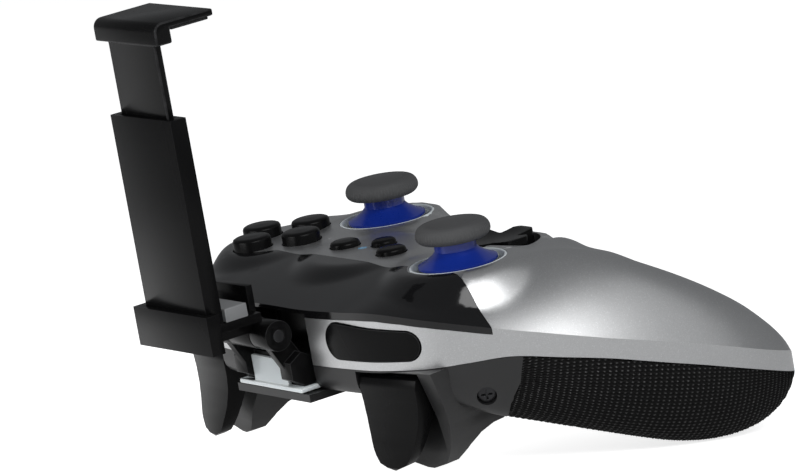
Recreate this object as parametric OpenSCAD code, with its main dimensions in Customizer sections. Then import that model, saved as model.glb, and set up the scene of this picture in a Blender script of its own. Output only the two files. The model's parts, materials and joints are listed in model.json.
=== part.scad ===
// Hand-held game controller with a folding spring-clamp holder on its front edge.
// Drawn in the frame of its control face: X to the user's right, Y forward, Z out of the face,
// with the left stick's row at Y = 0 and the stick sockets' rims at Z = 0.
// stand() then sets it down on its handles and trigger guards.

/* [Body] */
// Width over the two handles
body_w = 154; // [148:1:160]
// Wall of the top and bottom shells
wall = 2.6; // [2.2:0.1:3]
// Thickness of the glossy front panel
panel_t = 1.3; // [1:0.1:1.5]
// Thickness of the rubber grips
grip_t = 1.6; // [1.2:0.1:2]
// Pitch of the control face when the controller stands on a table
rest_pitch = 8.1; // [7:0.1:9]
// Running gap between pieces that move past each other
gap = 0.3; // [0.2:0.05:0.4]
// Gap between pieces that are fitted together
seat = 0.05; // [0.02:0.01:0.1]
// Seam between the two shells
seam = 0.1; // [0.05:0.05:0.2]

/* [Sticks] */
// Left stick, distance from the centre line
stick_x = 40; // [38:0.5:42]
// Right stick, distance from the centre line
aim_x = 25.7; // [24:0.1:27]
// Right stick, distance behind the left stick's row
aim_y = 23.5; // [22:0.5:25]
// Diameter of the rubber cap
cap_d = 19; // [17:0.5:20]
// Thickness of the rubber cap
cap_h = 4.25; // [3.75:0.25:5]
// Height of the cap's rim above the socket
cap_top = 10; // [9:0.25:12]
// Diameter of the stem
stem_d = 10.6; // [9:0.2:12]
// Diameter of the skirt at the socket
skirt_d = 20; // [18:0.2:20.4]
// Inside diameter of the socket ring
socket_d = 23.2; // [23:0.2:24.4]
// Width of the socket ring
ring_w = 0.8; // [0.6:0.1:1.2]
// Depth of the tilting axes below the socket's rim
pivot_depth = 5.5; // [5:0.25:6]
// Width of the stick module's case
module_w = 16.4; // [15.8:0.2:16.8]

/* [Buttons] */
// Direction pad, distance from the centre line
dpad_x = 26; // [25:0.5:27]
// Direction pad, distance behind the left stick's row
dpad_y = 21.8; // [21:0.1:23]
// Length of the direction pad's cross
dpad_w = 19; // [17:0.2:20]
// Width of an arm of the cross
dpad_arm = 7.4; // [6.4:0.2:8.4]
// Diameter of an action button
face_d = 10; // [9:0.25:10.5]
// Distance of the action buttons from the middle of their group
face_pitch = 9.2; // [8.8:0.1:9.6]
// Height of an action button above its face
face_rise = 3; // [2:0.25:4]
// Travel of an action button
face_travel = 1.5; // [1:0.1:1.6]
// Diameter of the menu buttons
menu_d = 7.7; // [6.5:0.1:8.2]
// Menu buttons, distance from the centre line
menu_x = 10.5; // [10:0.25:12]
// Height of a menu button above the panel
menu_rise = 1.5; // [1:0.1:2]
// Travel of a menu button
menu_travel = 0.8; // [0.5:0.1:1]

/* [Shoulders] */
// Bumper, distance from the centre line
bumper_x = 37; // [35.5:0.5:38.5]
// Length of a bumper
bumper_l = 30; // [26:0.5:31]
// Height of a bumper
bumper_h = 9.3; // [8.4:0.1:9.6]
// Height of a bumper at its outer end
bumper_end_h = 7.4; // [6.8:0.1:8]
// Middle of the bumper below the socket rims
bumper_drop = 13.7; // [13.4:0.1:14]
// Travel of a bumper
bumper_travel = 1; // [0.6:0.1:1.2]
// Trigger, distance from the centre line
trigger_x = 41; // [39.5:0.5:42]
// Width of a trigger
trigger_w = 20; // [18:0.5:21]
// Length of a trigger below its top edge
trigger_l = 22.8; // [21:0.2:23]
// Diameter of the trigger pins
pin_d = 3; // [2.4:0.1:3.2]

/* [Holder] */
// Width of the holder's sleeve
sleeve_w = 28; // [26:0.5:30]
// Depth of the sleeve
sleeve_t = 4.6; // [4.2:0.1:5.2]
// Top of the sleeve above the lower jaw
sleeve_top = 49.2; // [44:0.2:52]
// Width of the sliding bar
bar_w = 21.8; // [19:0.2:23]
// Thickness of the sliding bar
bar_t = 2; // [1.6:0.1:2.2]
// Opening between the jaws
jaw_gap = 71; // [66:0.5:78]
// Depth of the jaws
jaw_depth = 12.3; // [10.5:0.1:13]
// Width of the holder's foot
foot_w = 34; // [32:0.5:36]
// Height of the foot
foot_h = 10; // [9.4:0.2:11]
// Diameter of the hinge's knuckle
knuckle_d = 7.8; // [7.2:0.2:8.4]
// Width of the hinge's knuckle
knuckle_w = 10.4; // [9.6:0.2:11.2]
// Diameter of the hinge pin
hinge_pin_d = 3; // [2.6:0.1:3.4]

/* [Inside] */
// Thickness of the circuit board
board_t = 1.6; // [1:0.1:1.8]
// Length of the battery
battery_l = 50; // [40:1:56]
// Width of the battery
battery_w = 34; // [28:1:38]
// Thickness of the battery
battery_t = 5.6; // [4.5:0.1:6]
// Diameter of a screw's shank
screw_d = 2.2; // [1.8:0.1:2.6]
// Diameter of a screw's head
screw_head_d = 4.4; // [3.8:0.1:4.8]

/* [Hidden] */

$fn = 48;

// Body stations from the centre line out to the tip of a handle. Each is
// front or outer edge x, y, crease z, parting z, back or inner edge x, y, crease z, parting z,
// start of the crown as a share of the way across and its z, end of the crown and its z,
// keel as a share and its z, squareness of the underside, roundness of the front slope.
stations = [
    [0, 31, -6.6, -20.8, 0, -40, -12, -19, 0.37, -0.6, 0.76, -1.9, 0.5, -29.5, 5, 1.3],
    [14, 31, -6.6, -20.8, 10, -40, -12, -19, 0.37, -0.6, 0.76, -1.9, 0.5, -29.5, 5, 1.3],
    [28, 29.8, -6.3, -20.8, 20, -40, -12.2, -19.2, 0.37, -0.7, 0.76, -2, 0.5, -29.6, 5, 1.35],
    [40, 27.5, -6.2, -20.8, 28, -40.2, -12.6, -19.6, 0.38, -1, 0.75, -2.2, 0.48, -30.2, 4.5, 1.45],
    [52, 21.4, -8.4, -20.8, 33.5, -40.8, -13.6, -20.2, 0.4, -1.4, 0.72, -2.6, 0.42, -32.5, 4, 1.6],
    [59, 14, -11, -20.6, 36.5, -41.5, -15, -21.4, 0.45, -1.2, 0.74, -1.4, 0.36, -37.6, 3.2, 1.8],
    [64.5, 5, -14.1, -20.9, 39, -42.5, -17, -23.2, 0.5, -1.3, 0.7, -1.9, 0.36, -42, 2.7, 1.9],
    [69.5, -6, -17.8, -23.7, 41.5, -44.2, -19.5, -25.6, 0.52, -2.8, 0.62, -3.8, 0.4, -46.8, 2.4, 2],
    [73.5, -18, -21.8, -27, 44, -46.5, -22.5, -28.6, 0.52, -5.4, 0.58, -6.1, 0.44, -51.4, 2.2, 2],
    [76, -30, -25.6, -31, 46.8, -50, -25.8, -32, 0.5, -9.7, 0.54, -10.3, 0.48, -55.2, 2.1, 2],
    [77, -42, -29.6, -35, 49.6, -55, -29.3, -35.4, 0.5, -14.9, 0.53, -15.4, 0.5, -57.5, 2, 2],
    [76.5, -53, -33.5, -38.9, 52.4, -60.5, -33, -39, 0.5, -20.5, 0.52, -20.8, 0.5, -58.1, 2, 2],
    [74.6, -62.5, -37, -42.3, 55.4, -66.2, -36.6, -42.4, 0.5, -26.4, 0.52, -26.6, 0.5, -57.2, 2, 2],
    [71.8, -70, -39.6, -45, 59, -71.5, -39.4, -45, 0.5, -32.8, 0.52, -32.9, 0.5, -54.4, 2, 2],
    [69.2, -74.2, -41, -46.4, 62, -74.6, -41, -46.4, 0.5, -37.4, 0.52, -37.5, 0.5, -50.8, 2, 2],
    [67, -76.3, -42, -47, 64.4, -76.4, -42, -47, 0.5, -41, 0.52, -41.1, 0.5, -48, 2, 2]];
half_w = max([for (s = stations) s[0]]);
spread = body_w / 2 / half_w;
steps = 2;
last = steps * (len(stations) - 1);

function mix(a, b, u) = a + (b - a) * u;
function ease(u) = let (v = min(1, max(0, u))) v * v * (3 - 2 * v);
function spline(a, b, c, d, u) =
    0.5 * (2 * b + (c - a) * u + (2 * a - 5 * b + 4 * c - d) * u * u + (3 * b - a - 3 * c + d) * u * u * u);
function other_side(s) = [for (i = [0:len(s) - 1]) i == 0 || i == 4 ? -s[i] : s[i]];
function control(i) =
    i < 0 ? other_side(stations[-i]) :
    i < len(stations) ? stations[i] :
    2 * stations[len(stations) - 1] - stations[len(stations) - 2];
// Station between the drawn ones, at step i from the centre line
function station(i) =
    let (k = floor(abs(i) / steps), u = abs(i) / steps - k)
    spline(control(k - 1), control(k), control(k + 1), control(k + 2), u);
// Y of the body's front edge at a distance x from the centre line
function front_y(x) = lookup(abs(x), [for (s = stations) if (s[1] > -40) [s[0] * spread, s[1]]]);

// Flat lands on the crown: x, y, z, flat radius, radius where the crown takes over
socket_r = socket_d / 2 + ring_w;
face_z = -0.8;
menu_z = -0.4;
dish_z = -2.6;
land_rim = 1.2;
land_run = 7.5;
menu_r = 14;
group_r = face_pitch + face_d / 2;
dish_r = dpad_w / 2 + 1.4;
dish_run = 5;
lands = [
    [0, 0, menu_z, menu_r, menu_r + land_run],
    [stick_x, 0, face_z, group_r, group_r + land_run],
    [-dpad_x, -dpad_y, dish_z, dish_r + land_rim, dish_r + land_rim + dish_run],
    [-stick_x, 0, 0, socket_r + land_rim, socket_r + land_rim + land_run],
    [aim_x, -aim_y, 0, socket_r + land_rim, socket_r + land_rim + land_run]];
function land(p, i = 0) =
    i == len(lands) ? p :
    let (l = lands[i], w = 1 - ease((norm([p[0] - l[0], p[1] - l[1]]) - l[3]) / (l[4] - l[3])))
    land([p[0], p[1], mix(p[2], l[2], w)], i + 1);

crown_front = 6;
crown_mid = 3;
crown_back = 5;
keel_half = 7;
part_steps = 2;
function across(s, side, t, z) =
    [side * spread * mix(s[0], s[4], t), mix(s[1], s[5], t), z];
function crown(s, side) = concat(
    [for (u = [1:crown_front]) let (v = u / crown_front)
        land(across(s, side, s[8] * v, mix(s[2], s[9], 1 - pow(1 - v, s[15]))))],
    [for (u = [1:crown_mid]) let (v = u / crown_mid)
        land(across(s, side, mix(s[8], s[10], v), mix(s[9], s[11], ease(v))))],
    [for (u = [1:crown_back - 1]) let (v = u / crown_back)
        land(across(s, side, mix(s[10], 1, v), mix(s[11], s[6], v * v)))]);
function top_arc(s, side) = concat(
    [across(s, side, 0, s[3]), across(s, side, 0, s[2])],
    crown(s, side),
    [across(s, side, 1, s[6]), across(s, side, 1, s[7])]);
function keel_point(s, side, a, from_t, from_z) =
    across(s, side, mix(s[12], from_t, pow(cos(a), 2 / s[14])), mix(from_z, s[13], pow(sin(a), 2 / s[14])));
function keel_arc(s, side) = concat(
    [for (u = [0:keel_half]) keel_point(s, side, 90 * u / keel_half, 1, s[7])],
    [for (u = [keel_half - 1:-1:0]) keel_point(s, side, 90 * u / keel_half, 0, s[3])]);
top_grid = [for (i = [-last:last]) top_arc(station(i), sign(i + 0.5))];
keel_grid = [for (i = [-last:last]) keel_arc(station(i), sign(i + 0.5))];

// A grid drawn in by d along its own normals
function drawn_in(g, d) =
    [for (i = [0:len(g) - 1]) [for (j = [0:len(g[0]) - 1])
        let (along = g[min(i + 1, len(g) - 1)][j] - g[max(i - 1, 0)][j],
            over = g[i][min(j + 1, len(g[0]) - 1)] - g[i][max(j - 1, 0)],
            n = cross(over, along))
        g[i][j] - d * n / norm(n)]];
// Each arc closed by a line along the parting face, moved by dz
function closed(g, dz) =
    [for (arc = g) let (a = arc[0] + [0, 0, dz], b = arc[len(arc) - 1] + [0, 0, dz]) concat(
        [a], [for (j = [1:len(arc) - 2]) arc[j]], [b],
        [for (u = [1:part_steps - 1]) mix(b, a, u / part_steps)])];
function trimmed(g, n) = [for (i = [n:len(g) - 1 - n]) g[i]];

function every_other(g) = [for (i = [0:2:len(g) - 1]) g[i]];
function centre(r) = [for (k = [0:2]) [for (p = r) p[k]] * [for (p = r) 1] / len(r)];

module loft(rings) {
    n = len(rings[0]);
    m = len(rings);
    points = concat([for (r = rings) each r], [centre(rings[0]), centre(rings[m - 1])]);
    sides = [for (i = [0:m - 2], j = [0:n - 1])
        let (a = i * n + j, b = i * n + (j + 1) % n)
        each [[a, a + n, b], [b, a + n, b + n]]];
    near = [for (j = [0:n - 1]) [m * n, j, (j + 1) % n]];
    far = [for (j = [0:n - 1]) [m * n + 1, (m - 1) * n + (j + 1) % n, (m - 1) * n + j]];
    polyhedron(points, concat(sides, near, far), convexity = 8);
}

// Upper and lower halves of the body, drawn in by d and run past the parting face by dz
tip_rings = 4;
module upper_form(d = 0, dz = 0) {
    if (d == 0) loft(closed(top_grid, dz));
    else loft(closed(every_other(trimmed(drawn_in(top_grid, d), tip_rings)), dz));
}
module lower_form(d = 0, dz = 0) {
    if (d == 0) loft(closed(keel_grid, dz));
    else loft(closed(every_other(trimmed(drawn_in(keel_grid, d), tip_rings)), dz));
}
// A moulded shell is one mesh: curved skin, bosses and openings merge as triangles
module moulded() {
    resize([0, 0, 0]) children();
}
module both_sides() {
    children();
    mirror([1, 0, 0]) children();
}
// side is -1 for the left hand and 1 for the right
module handed(side) {
    mirror([side < 0 ? 1 : 0, 0, 0]) children();
}

// The controller set down on its handles and guards, centred over the origin
guard_tip = [19.6, -47.8];
lift = guard_tip[0] * sin(rest_pitch) - guard_tip[1] * cos(rest_pitch);
set_back = 7;
module stand() {
    translate([0, set_back, lift]) rotate([-rest_pitch, 0, 0]) children();
}

// Longer than the whole body
tall = 130;

// Plan outlines
outline = concat([for (i = [-last:last]) let (p = top_grid[i + last][1]) [p[0], p[1]]],
    [for (i = [last:-1:-last]) let (g = top_grid[i + last], p = g[len(g) - 2]) [p[0], p[1]]]);
panel_lip = 0.5;
panel_back_y = 8.4;
panel_edge = 2;
module panel_plan(grow = 0) {
    difference() {
        intersection() {
            offset(delta = grow + panel_lip) polygon(outline);
            translate([-body_w, panel_back_y - grow]) square([2 * body_w, tall]);
        }
        for (side = [-1, 1])
            translate([side * stick_x, 0]) circle(r = socket_r + panel_lip - grow);
    }
}
// What lies under the panel's turned-down edge, a little wider than the body
sill_spread = [1.004, 1.01, 1];
module panel_sill(grow = 0) {
    translate([0, 0, -panel_edge - grow]) scale(sill_spread) upper_form();
}
grip_edge = [[-95, 2.2], [-65.7, 2.5], [-65, 3.5], [-64.4, 4.3], [-63, 5.6], [-62, 6.1], [-61, 6.2],
    [-59, 5.6], [-55, 4.6], [-50, 1], [-46, -10], [-42, -26], [-38, -40], [-34, -60], [-34, -95], [-95, -95]];
module grip_plan(grow = 0) {
    offset(delta = grow) polygon(grip_edge);
}
module prism() {
    translate([0, 0, -tall / 2]) linear_extrude(tall) children();
}

// Places of the controls
left_stick = [-stick_x, 0, 0];
right_stick = [aim_x, -aim_y, 0];
home_d = 6.4;
home_y = -4.9;
light_pos = [3.2, -0.4, menu_z];
light_d = 2.4;
function face_pos(k) = [stick_x + face_pitch * sin(90 * k), face_pitch * cos(90 * k), face_z];
board_z = -17;
bench_z = -13.4;
module at_sticks() {
    translate(left_stick) children();
    translate(right_stick) children();
}
module control_holes() {
    for (k = [0:3])
        translate(face_pos(k)) cylinder(d = face_d + 2 * gap, h = tall, center = true);
    both_sides() translate([menu_x, 0, 0]) cylinder(d = menu_d + 2 * gap, h = tall, center = true);
    translate([0, home_y, 0]) cylinder(d = home_d + 2 * gap, h = tall, center = true);
    translate(light_pos) cylinder(d = light_d + 2 * seat, h = tall, center = true);
}

// Shoulder frames: u outward, v forward, over the middle of a bumper or trigger
bumper_slope = atan2(front_y(bumper_x - bumper_l / 2) - front_y(bumper_x + bumper_l / 2), bumper_l);
bumper_y = front_y(bumper_x);
module at_bumper() {
    translate([bumper_x, bumper_y, -bumper_drop]) rotate([0, 0, -bumper_slope]) children();
}
trigger_slope = 9;
trigger_set = 0.2;
trigger_y = front_y(trigger_x) - trigger_set;
module at_trigger() {
    translate([trigger_x, trigger_y, 0]) rotate([0, 0, -trigger_slope]) children();
}
// An outline drawn in the v, z plane, given a width along u from its middle
module side_on(width, shift = 0) {
    translate([shift - width / 2, 0, 0]) rotate([90, 0, 90]) linear_extrude(width) children();
}
// An outline drawn in the u, z plane, given a depth along v
module face_on(v_low, v_high) {
    translate([0, v_high, 0]) rotate([90, 0, 0]) linear_extrude(v_high - v_low) children();
}

// Trigger sizes in its frame
trigger_top = -22.9;
trigger_tip = trigger_top - trigger_l;
trigger_pivot = [-11, -24.4];
barrel_r = 2.8;
bow_square = 0.36;
function bow(half, u) = half * pow(max(0, cos(90 * u)), bow_square);
trigger_brow = 1.2;
module trigger_face() {
    n = 12;
    half = trigger_w / 2;
    drop = trigger_l - trigger_brow;
    polygon(concat(
        [[half, trigger_top + barrel_r], [-half, trigger_top + barrel_r]],
        [for (k = [0:n]) [-bow(half, k / n), trigger_top - trigger_brow - drop * k / n]],
        [for (k = [n - 1:-1:0]) [bow(half, k / n), trigger_top - trigger_brow - drop * k / n]]));
}
// Side outline of a trigger as v, z: its roof, finger face, tip and back
trigger_roof = [[-9, 0.6], [-3, 0.3], [0.2, 0]];
trigger_front = [[0.9, -25], [0.7, -29], [0.9, -33], [1.6, -37], [2.7, -41]];
trigger_end = [[3.4, 0.8], [2.8, 0], [0.6, 0.6]];
trigger_back = [[-1.6, -40], [-4, -34], [-7, -29], [-11, -27.2], [-13.4, -24.4], [-11.6, -21.8]];
module trigger_side() {
    polygon(concat([for (p = trigger_roof) p + [0, trigger_top]], trigger_front,
        [for (p = trigger_end) p + [0, trigger_tip]], trigger_back));
}
// Side outline of the pocket a trigger swings in, open to the front and below
pocket_back_line = [[-5.6, -60], [-5.4, -46], [-5.8, -40], [-8.2, -34], [-11, -29.6], [-15, -28.6],
    [-16, -24.4], [-14, -20.6]];
pocket_front_v = 9;
pocket_roof = 1.2;
module trigger_pocket() {
    side_on(trigger_w + 4 * gap) polygon(concat([[pocket_front_v, trigger_top + pocket_roof],
        [pocket_front_v, pocket_back_line[0][1]]], pocket_back_line));
}
guard_w = 25;
guard_shift = 3;
guard_top = -21;
guard_flare = 1.15;
module guard_face() {
    n = 10;
    polygon([for (k = [-n:n]) [guard_shift + sign(k) * bow(guard_w / 2, 1 - abs(k) / n),
        mix(guard_tip[1], guard_top, pow(abs(k) / n, guard_flare))]]);
}
// Side outline of a guard: its front as v, z, and its back counted from the tip it stands on
guard_front = [[0, guard_top], [-0.4, -22], [-2.4, -28], [-4.4, -34], [-5.4, -40]];
guard_back = [[0, 0], [-1.4, 0.2], [-3, 2.2], [-5.6, 5], [-8.8, 7.3], [-13, 8.6], [-18, 8.8], [-22, 11]];
guard_toe = [[-5.8, 1.6], [-6.4, 0.4]];
module guard_side() {
    tip = [guard_tip[0] - trigger_y, guard_tip[1]];
    polygon(concat(guard_front, [for (p = guard_toe) p + [0, tip[1]]], [for (p = guard_back) p + tip],
        [[guard_back[len(guard_back) - 1][0] + tip[0], guard_top]]));
}
module guard() {
    intersection() {
        side_on(tall) guard_side();
        face_on(-tall / 2, tall / 2) guard_face();
    }
}

// Hinge pocket in the front edge
pocket_w = 28.6;
pocket_back = 21;
pocket_top = -7.6;
lip_z = -25.8;
lip_y = 35.6;
liner_t = 1.2;
cheek_y = 30.4;
fascia_y = 33.9;
fascia_w = 15.4;
fascia_h = 8;
chin_w = 33;
chin_y = 35;
chin_bottom = -29.3;
chin_t = 2;
module pocket_space() {
    translate([-pocket_w / 2, pocket_back, lip_z - liner_t])
        cube([pocket_w, tall, pocket_top - lip_z + liner_t]);
}

// Screws
post_d = 6;
screw_len = 9;
post_screw_len = 16;
boss_bite = 0.5;
posts = [[21, 14.5], [8, -33], [-21, 14.5], [-8, -33]];
floor_z = -29.5;
side_screw = [60, 11.5, -29.9];
side_screw_turn = [0, 72, -144];
screw_head_h = 1.6;
screw_sink = 1.2;
module at_posts() {
    for (p = posts) translate([p[0], p[1], floor_z]) children();
}
module at_side_screws() {
    both_sides() translate(side_screw) rotate(side_screw_turn) children();
}

usb_w = 8;
usb_h = 3;
usb_z = -15.4;
usb_l = 6;
usb_t = 0.5;
usb_set = 0.6;
back_y = -40;
module usb_hole(grow) {
    translate([-usb_w / 2 - grow, back_y - usb_l, usb_z - usb_h / 2 - grow])
        cube([usb_w + 2 * grow, 2 * usb_l, usb_h + 2 * grow]);
}

overshoot = 9;
round_fn = 24;
module top_shell() {
    color("silver") stand() moulded() difference() {
        union() {
            difference() {
                upper_form();
                upper_form(wall, -overshoot);
                difference() {
                    prism() panel_plan(seat);
                    upper_form(panel_t + seat, -overshoot);
                    panel_sill(seat);
                }
            }
            intersection() {
                upper_form(panel_t + boss_bite, -overshoot);
                at_posts() translate([0, 0, board_z + seat - floor_z])
                    cylinder(d = post_d, h = tall, $fn = round_fn);
            }
        }
        at_posts() screw_hole(screw_sink + screw_head_h + post_screw_len + seat);
        at_sticks() cylinder(r = socket_r + seat, h = tall, center = true);
        translate([-dpad_x, -dpad_y, 0]) cylinder(r = dish_r, h = tall, center = true);
        control_holes();
        both_sides() at_bumper() bumper_hole();
        pocket_space();
        usb_hole(seat);
    }
}
module bottom_shell() {
    color([0.07, 0.07, 0.07]) stand() moulded() difference() {
        union() {
            difference() {
                union() {
                    lower_form(0, -seam);
                    both_sides() at_trigger() guard();
                    translate([-chin_w / 2, 0, chin_bottom]) cube([chin_w, chin_y, chin_t]);
                }
                lower_form(grip_t + wall, overshoot);
                both_sides() difference() {
                    prism() grip_plan(seat);
                    lower_form(grip_t + seat, overshoot);
                }
            }
            at_posts() cylinder(d = post_d, h = board_z - board_t - seat - floor_z, $fn = round_fn);
        }
        both_sides() at_trigger() trigger_pocket();
        both_sides() at_trigger() bracket_space();
        pocket_space();
        at_posts() screw_space();
        at_side_screws() screw_space();
    }
}
module screw_hole(depth) {
    cylinder(d = screw_d + 2 * seat, h = depth, $fn = round_fn);
}
module screw_space() {
    translate([0, 0, -overshoot])
        cylinder(d = screw_head_d + 2 * gap, h = overshoot + screw_sink + screw_head_h, $fn = round_fn);
    screw_hole(post_screw_len + overshoot);
}
module front_panel() {
    color([0.03, 0.03, 0.03]) stand() moulded() difference() {
        intersection() {
            upper_form();
            prism() panel_plan();
        }
        upper_form(panel_t, -overshoot);
        panel_sill();
        both_sides() at_bumper() bumper_hole();
        control_holes();
        pocket_space();
    }
}
module grip(side) {
    color([0.09, 0.09, 0.09]) stand() handed(-side) moulded() difference() {
        intersection() {
            lower_form(0, -seam);
            prism() grip_plan();
        }
        lower_form(grip_t, overshoot);
    }
}
module left_grip() { grip(-1); }
module right_grip() { grip(1); }

pocket_in = pocket_w - 2 * seat;
module hinge_pocket_trim() {
    color([0.85, 0.86, 0.87]) stand() translate([0, pocket_back + seat, lip_z - liner_t + seat]) {
        translate([-pocket_in / 2, 0, 0]) cube([pocket_in, lip_y - pocket_back, liner_t - seat]);
        translate([-fascia_w / 2, fascia_y - pocket_back - seat, 0]) cube([fascia_w, liner_t, fascia_h]);
    }
}
module hinge_pocket_liner() {
    rise = pocket_top - lip_z - 2 * seat;
    color([0.06, 0.06, 0.06]) stand() translate([0, pocket_back + seat, lip_z + seat]) {
        translate([-pocket_in / 2, 0, 0]) cube([pocket_in, liner_t, rise]);
        both_sides() translate([pocket_in / 2 - liner_t, 0, 0])
            cube([liner_t, cheek_y - pocket_back, rise]);
    }
}

// Sticks
pivot = [0, 0, -pivot_depth];
gimbal_pin_r = 0.8;
run = 0.05;
shaft_r = 2.2;
rocker_r = 3.5;
case_t = 1.2;
case_top = -pivot_depth - 0.5;
lug_w = 7;
lug_top = -pivot_depth + 1.2;
ring_h = 3.4;
ring_edge = 0.25;
skirt_low = -0.5;
module stick_ring() {
    color([0.8, 0.8, 0.81]) rotate_extrude() polygon([[socket_d / 2, -ring_h], [socket_r, -ring_h],
        [socket_r, -ring_edge], [socket_r - ring_edge, 0], [socket_d / 2 + ring_edge, 0],
        [socket_d / 2, -ring_edge]]);
}
module stick_case() {
    inner = module_w - 2 * case_t;
    color([0.3, 0.32, 0.34]) difference() {
        union() {
            translate([-module_w / 2, -module_w / 2, board_z]) cube([module_w, module_w, case_top - board_z]);
            translate([-module_w / 2, -lug_w / 2, board_z]) cube([module_w, lug_w, lug_top - board_z]);
        }
        translate([-inner / 2, -inner / 2, board_z + case_t]) cube([inner, inner, tall]);
        translate(pivot) rotate([0, 90, 0]) cylinder(r = gimbal_pin_r + run, h = 2 * module_w, center = true);
    }
}
yoke_in = 9.2;
yoke_out = 11.6;
yoke_h = 3.2;
module stick_yoke() {
    color("gainsboro") translate(pivot) difference() {
        union() {
            cube([yoke_out, yoke_out, yoke_h], center = true);
            rotate([0, 90, 0]) cylinder(r = gimbal_pin_r, h = module_w - 2 * gap, center = true);
        }
        cube([yoke_in, yoke_in, 2 * yoke_h], center = true);
        rotate([90, 0, 0]) cylinder(r = gimbal_pin_r + run, h = 2 * yoke_out, center = true);
    }
}
rocker_low = -3;
rocker_high = 2.6;
module stick_rocker() {
    color("dimgray") translate(pivot) difference() {
        union() {
            translate([0, 0, rocker_low]) cylinder(r = rocker_r, h = rocker_high - rocker_low);
            rotate([90, 0, 0]) cylinder(r = gimbal_pin_r, h = yoke_out - 2 * run, center = true);
        }
        cylinder(r = shaft_r + run, h = tall, center = true);
    }
}
stick_travel = 0.5;
stem_in = 1;
stem_top = cap_top - cap_h + stem_in;
flare_z = 3.2;
shaft_end = -pivot_depth + rocker_low + stick_travel + gap;
shaft_tip = 0.6;
flat_in = 0.25;
flat_w = 4.4;
module stick_stem() {
    color([0.04, 0.16, 0.55]) {
        difference() {
            rotate_extrude() polygon([[0, shaft_end], [shaft_r, shaft_end + shaft_tip], [shaft_r, skirt_low],
                [skirt_d / 2, skirt_low], [skirt_d / 2, 0.1], [skirt_d / 2 - 2, 1], [stem_d / 2 + 0.8, 2.3],
                [stem_d / 2, flare_z], [stem_d / 2, stem_top], [0, stem_top]]);
            for (a = [0:90:270]) rotate([0, 0, a + 45])
                translate([stem_d / 2 - flat_in, -flat_w / 2, flare_z]) cube([stem_d, flat_w, tall]);
        }
    }
}
dish_depth = 1.1;
cap_rim = 2.3;
cap_low = 1.7;
cap_turn = 60;
cap_brim = [[2.8, 0.1], [3.3, 0.4], [4.2, 0.7]];
module stick_cap() {
    r = cap_d / 2;
    base = cap_top - cap_h;
    color([0.28, 0.28, 0.28]) difference() {
        rotate_extrude() polygon(concat([[0, base]],
            [for (a = [-cap_turn:15:90]) [r - cap_rim + cap_rim * cos(a),
                base + cap_low + (a < 0 ? cap_low / sin(cap_turn) : cap_h - cap_low) * sin(a)]],
            [for (p = cap_brim) [r - p[0], cap_top - p[1]]], [[0, cap_top - dish_depth]]));
        translate([0, 0, base - stem_in]) cylinder(d = stem_d + 2 * seat, h = 2 * stem_in + seat);
    }
}
module left_stick_ring() { stand() translate(left_stick) stick_ring(); }
module right_stick_ring() { stand() translate(right_stick) stick_ring(); }
module left_stick_case() { stand() translate(left_stick) stick_case(); }
module right_stick_case() { stand() translate(right_stick) stick_case(); }
module left_stick_yoke() { stand() translate(left_stick) stick_yoke(); }
module right_stick_yoke() { stand() translate(right_stick) stick_yoke(); }
module left_stick_rocker() { stand() translate(left_stick) stick_rocker(); }
module right_stick_rocker() { stand() translate(right_stick) stick_rocker(); }
module left_stick_stem() { stand() translate(left_stick) stick_stem(); }
module right_stick_stem() { stand() translate(right_stick) stick_stem(); }
module left_stick_cap() { stand() translate(left_stick) stick_cap(); }
module right_stick_cap() { stand() translate(right_stick) stick_cap(); }

// Direction pad on a cross-pinned spider
dpad_pivot = -8;
dpad_low = -5.4;
dpad_high = -0.6;
dpad_round = 2;
thumb_r = 46;
thumb_dip = 0.8;
spider_r = 0.9;
spider_w = 5;
spider_h = 3;
frame_t = 1.5;
frame_w = 8;
hub_in = 3.4;
hub_out = 5.4;
post_in = 6.4;
post_out = 8.2;
module at_dpad() {
    stand() translate([-dpad_x, -dpad_y, 0]) children();
}
module dpad_bar() {
    translate([0, 0, dpad_low]) linear_extrude(dpad_high - dpad_low) offset(r = dpad_round)
        square([dpad_w - 2 * dpad_round, dpad_arm - 2 * dpad_round], center = true);
}
module dpad() {
    color([0.05, 0.05, 0.05]) at_dpad() difference() {
        union() {
            dpad_bar();
            rotate([0, 0, 90]) dpad_bar();
            both_ends() translate([-2 * spider_r, hub_in, dpad_pivot - 2 * spider_r])
                cube([4 * spider_r, hub_out - hub_in, dpad_low - dpad_pivot + 2 * spider_r + seat]);
        }
        translate([0, 0, dpad_high + thumb_r - thumb_dip]) sphere(r = thumb_r, $fn = 96);
        translate([0, 0, dpad_pivot]) rotate([90, 0, 0])
            cylinder(r = spider_r + run, h = 4 * hub_out, center = true);
    }
}
module both_ends() {
    children();
    mirror([0, 1, 0]) children();
}
module dpad_spider() {
    color("gainsboro") at_dpad() translate([0, 0, dpad_pivot]) {
        cube([spider_w, spider_w, spider_h], center = true);
        rotate([0, 90, 0]) cylinder(r = spider_r, h = 2 * (post_out - run), center = true);
        rotate([90, 0, 0]) cylinder(r = spider_r, h = 2 * (hub_out - run), center = true);
    }
}
module dpad_frame() {
    color("dimgray") at_dpad() difference() {
        union() {
            translate([-post_out, -frame_w / 2, board_z]) cube([2 * post_out, frame_w, frame_t]);
            both_sides() translate([post_in, -frame_w / 4, board_z])
                cube([post_out - post_in, frame_w / 2, dpad_pivot + 2 * spider_r - board_z]);
        }
        translate([0, 0, dpad_pivot]) rotate([0, 90, 0])
            cylinder(r = spider_r + run, h = tall, center = true);
    }
}

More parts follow.
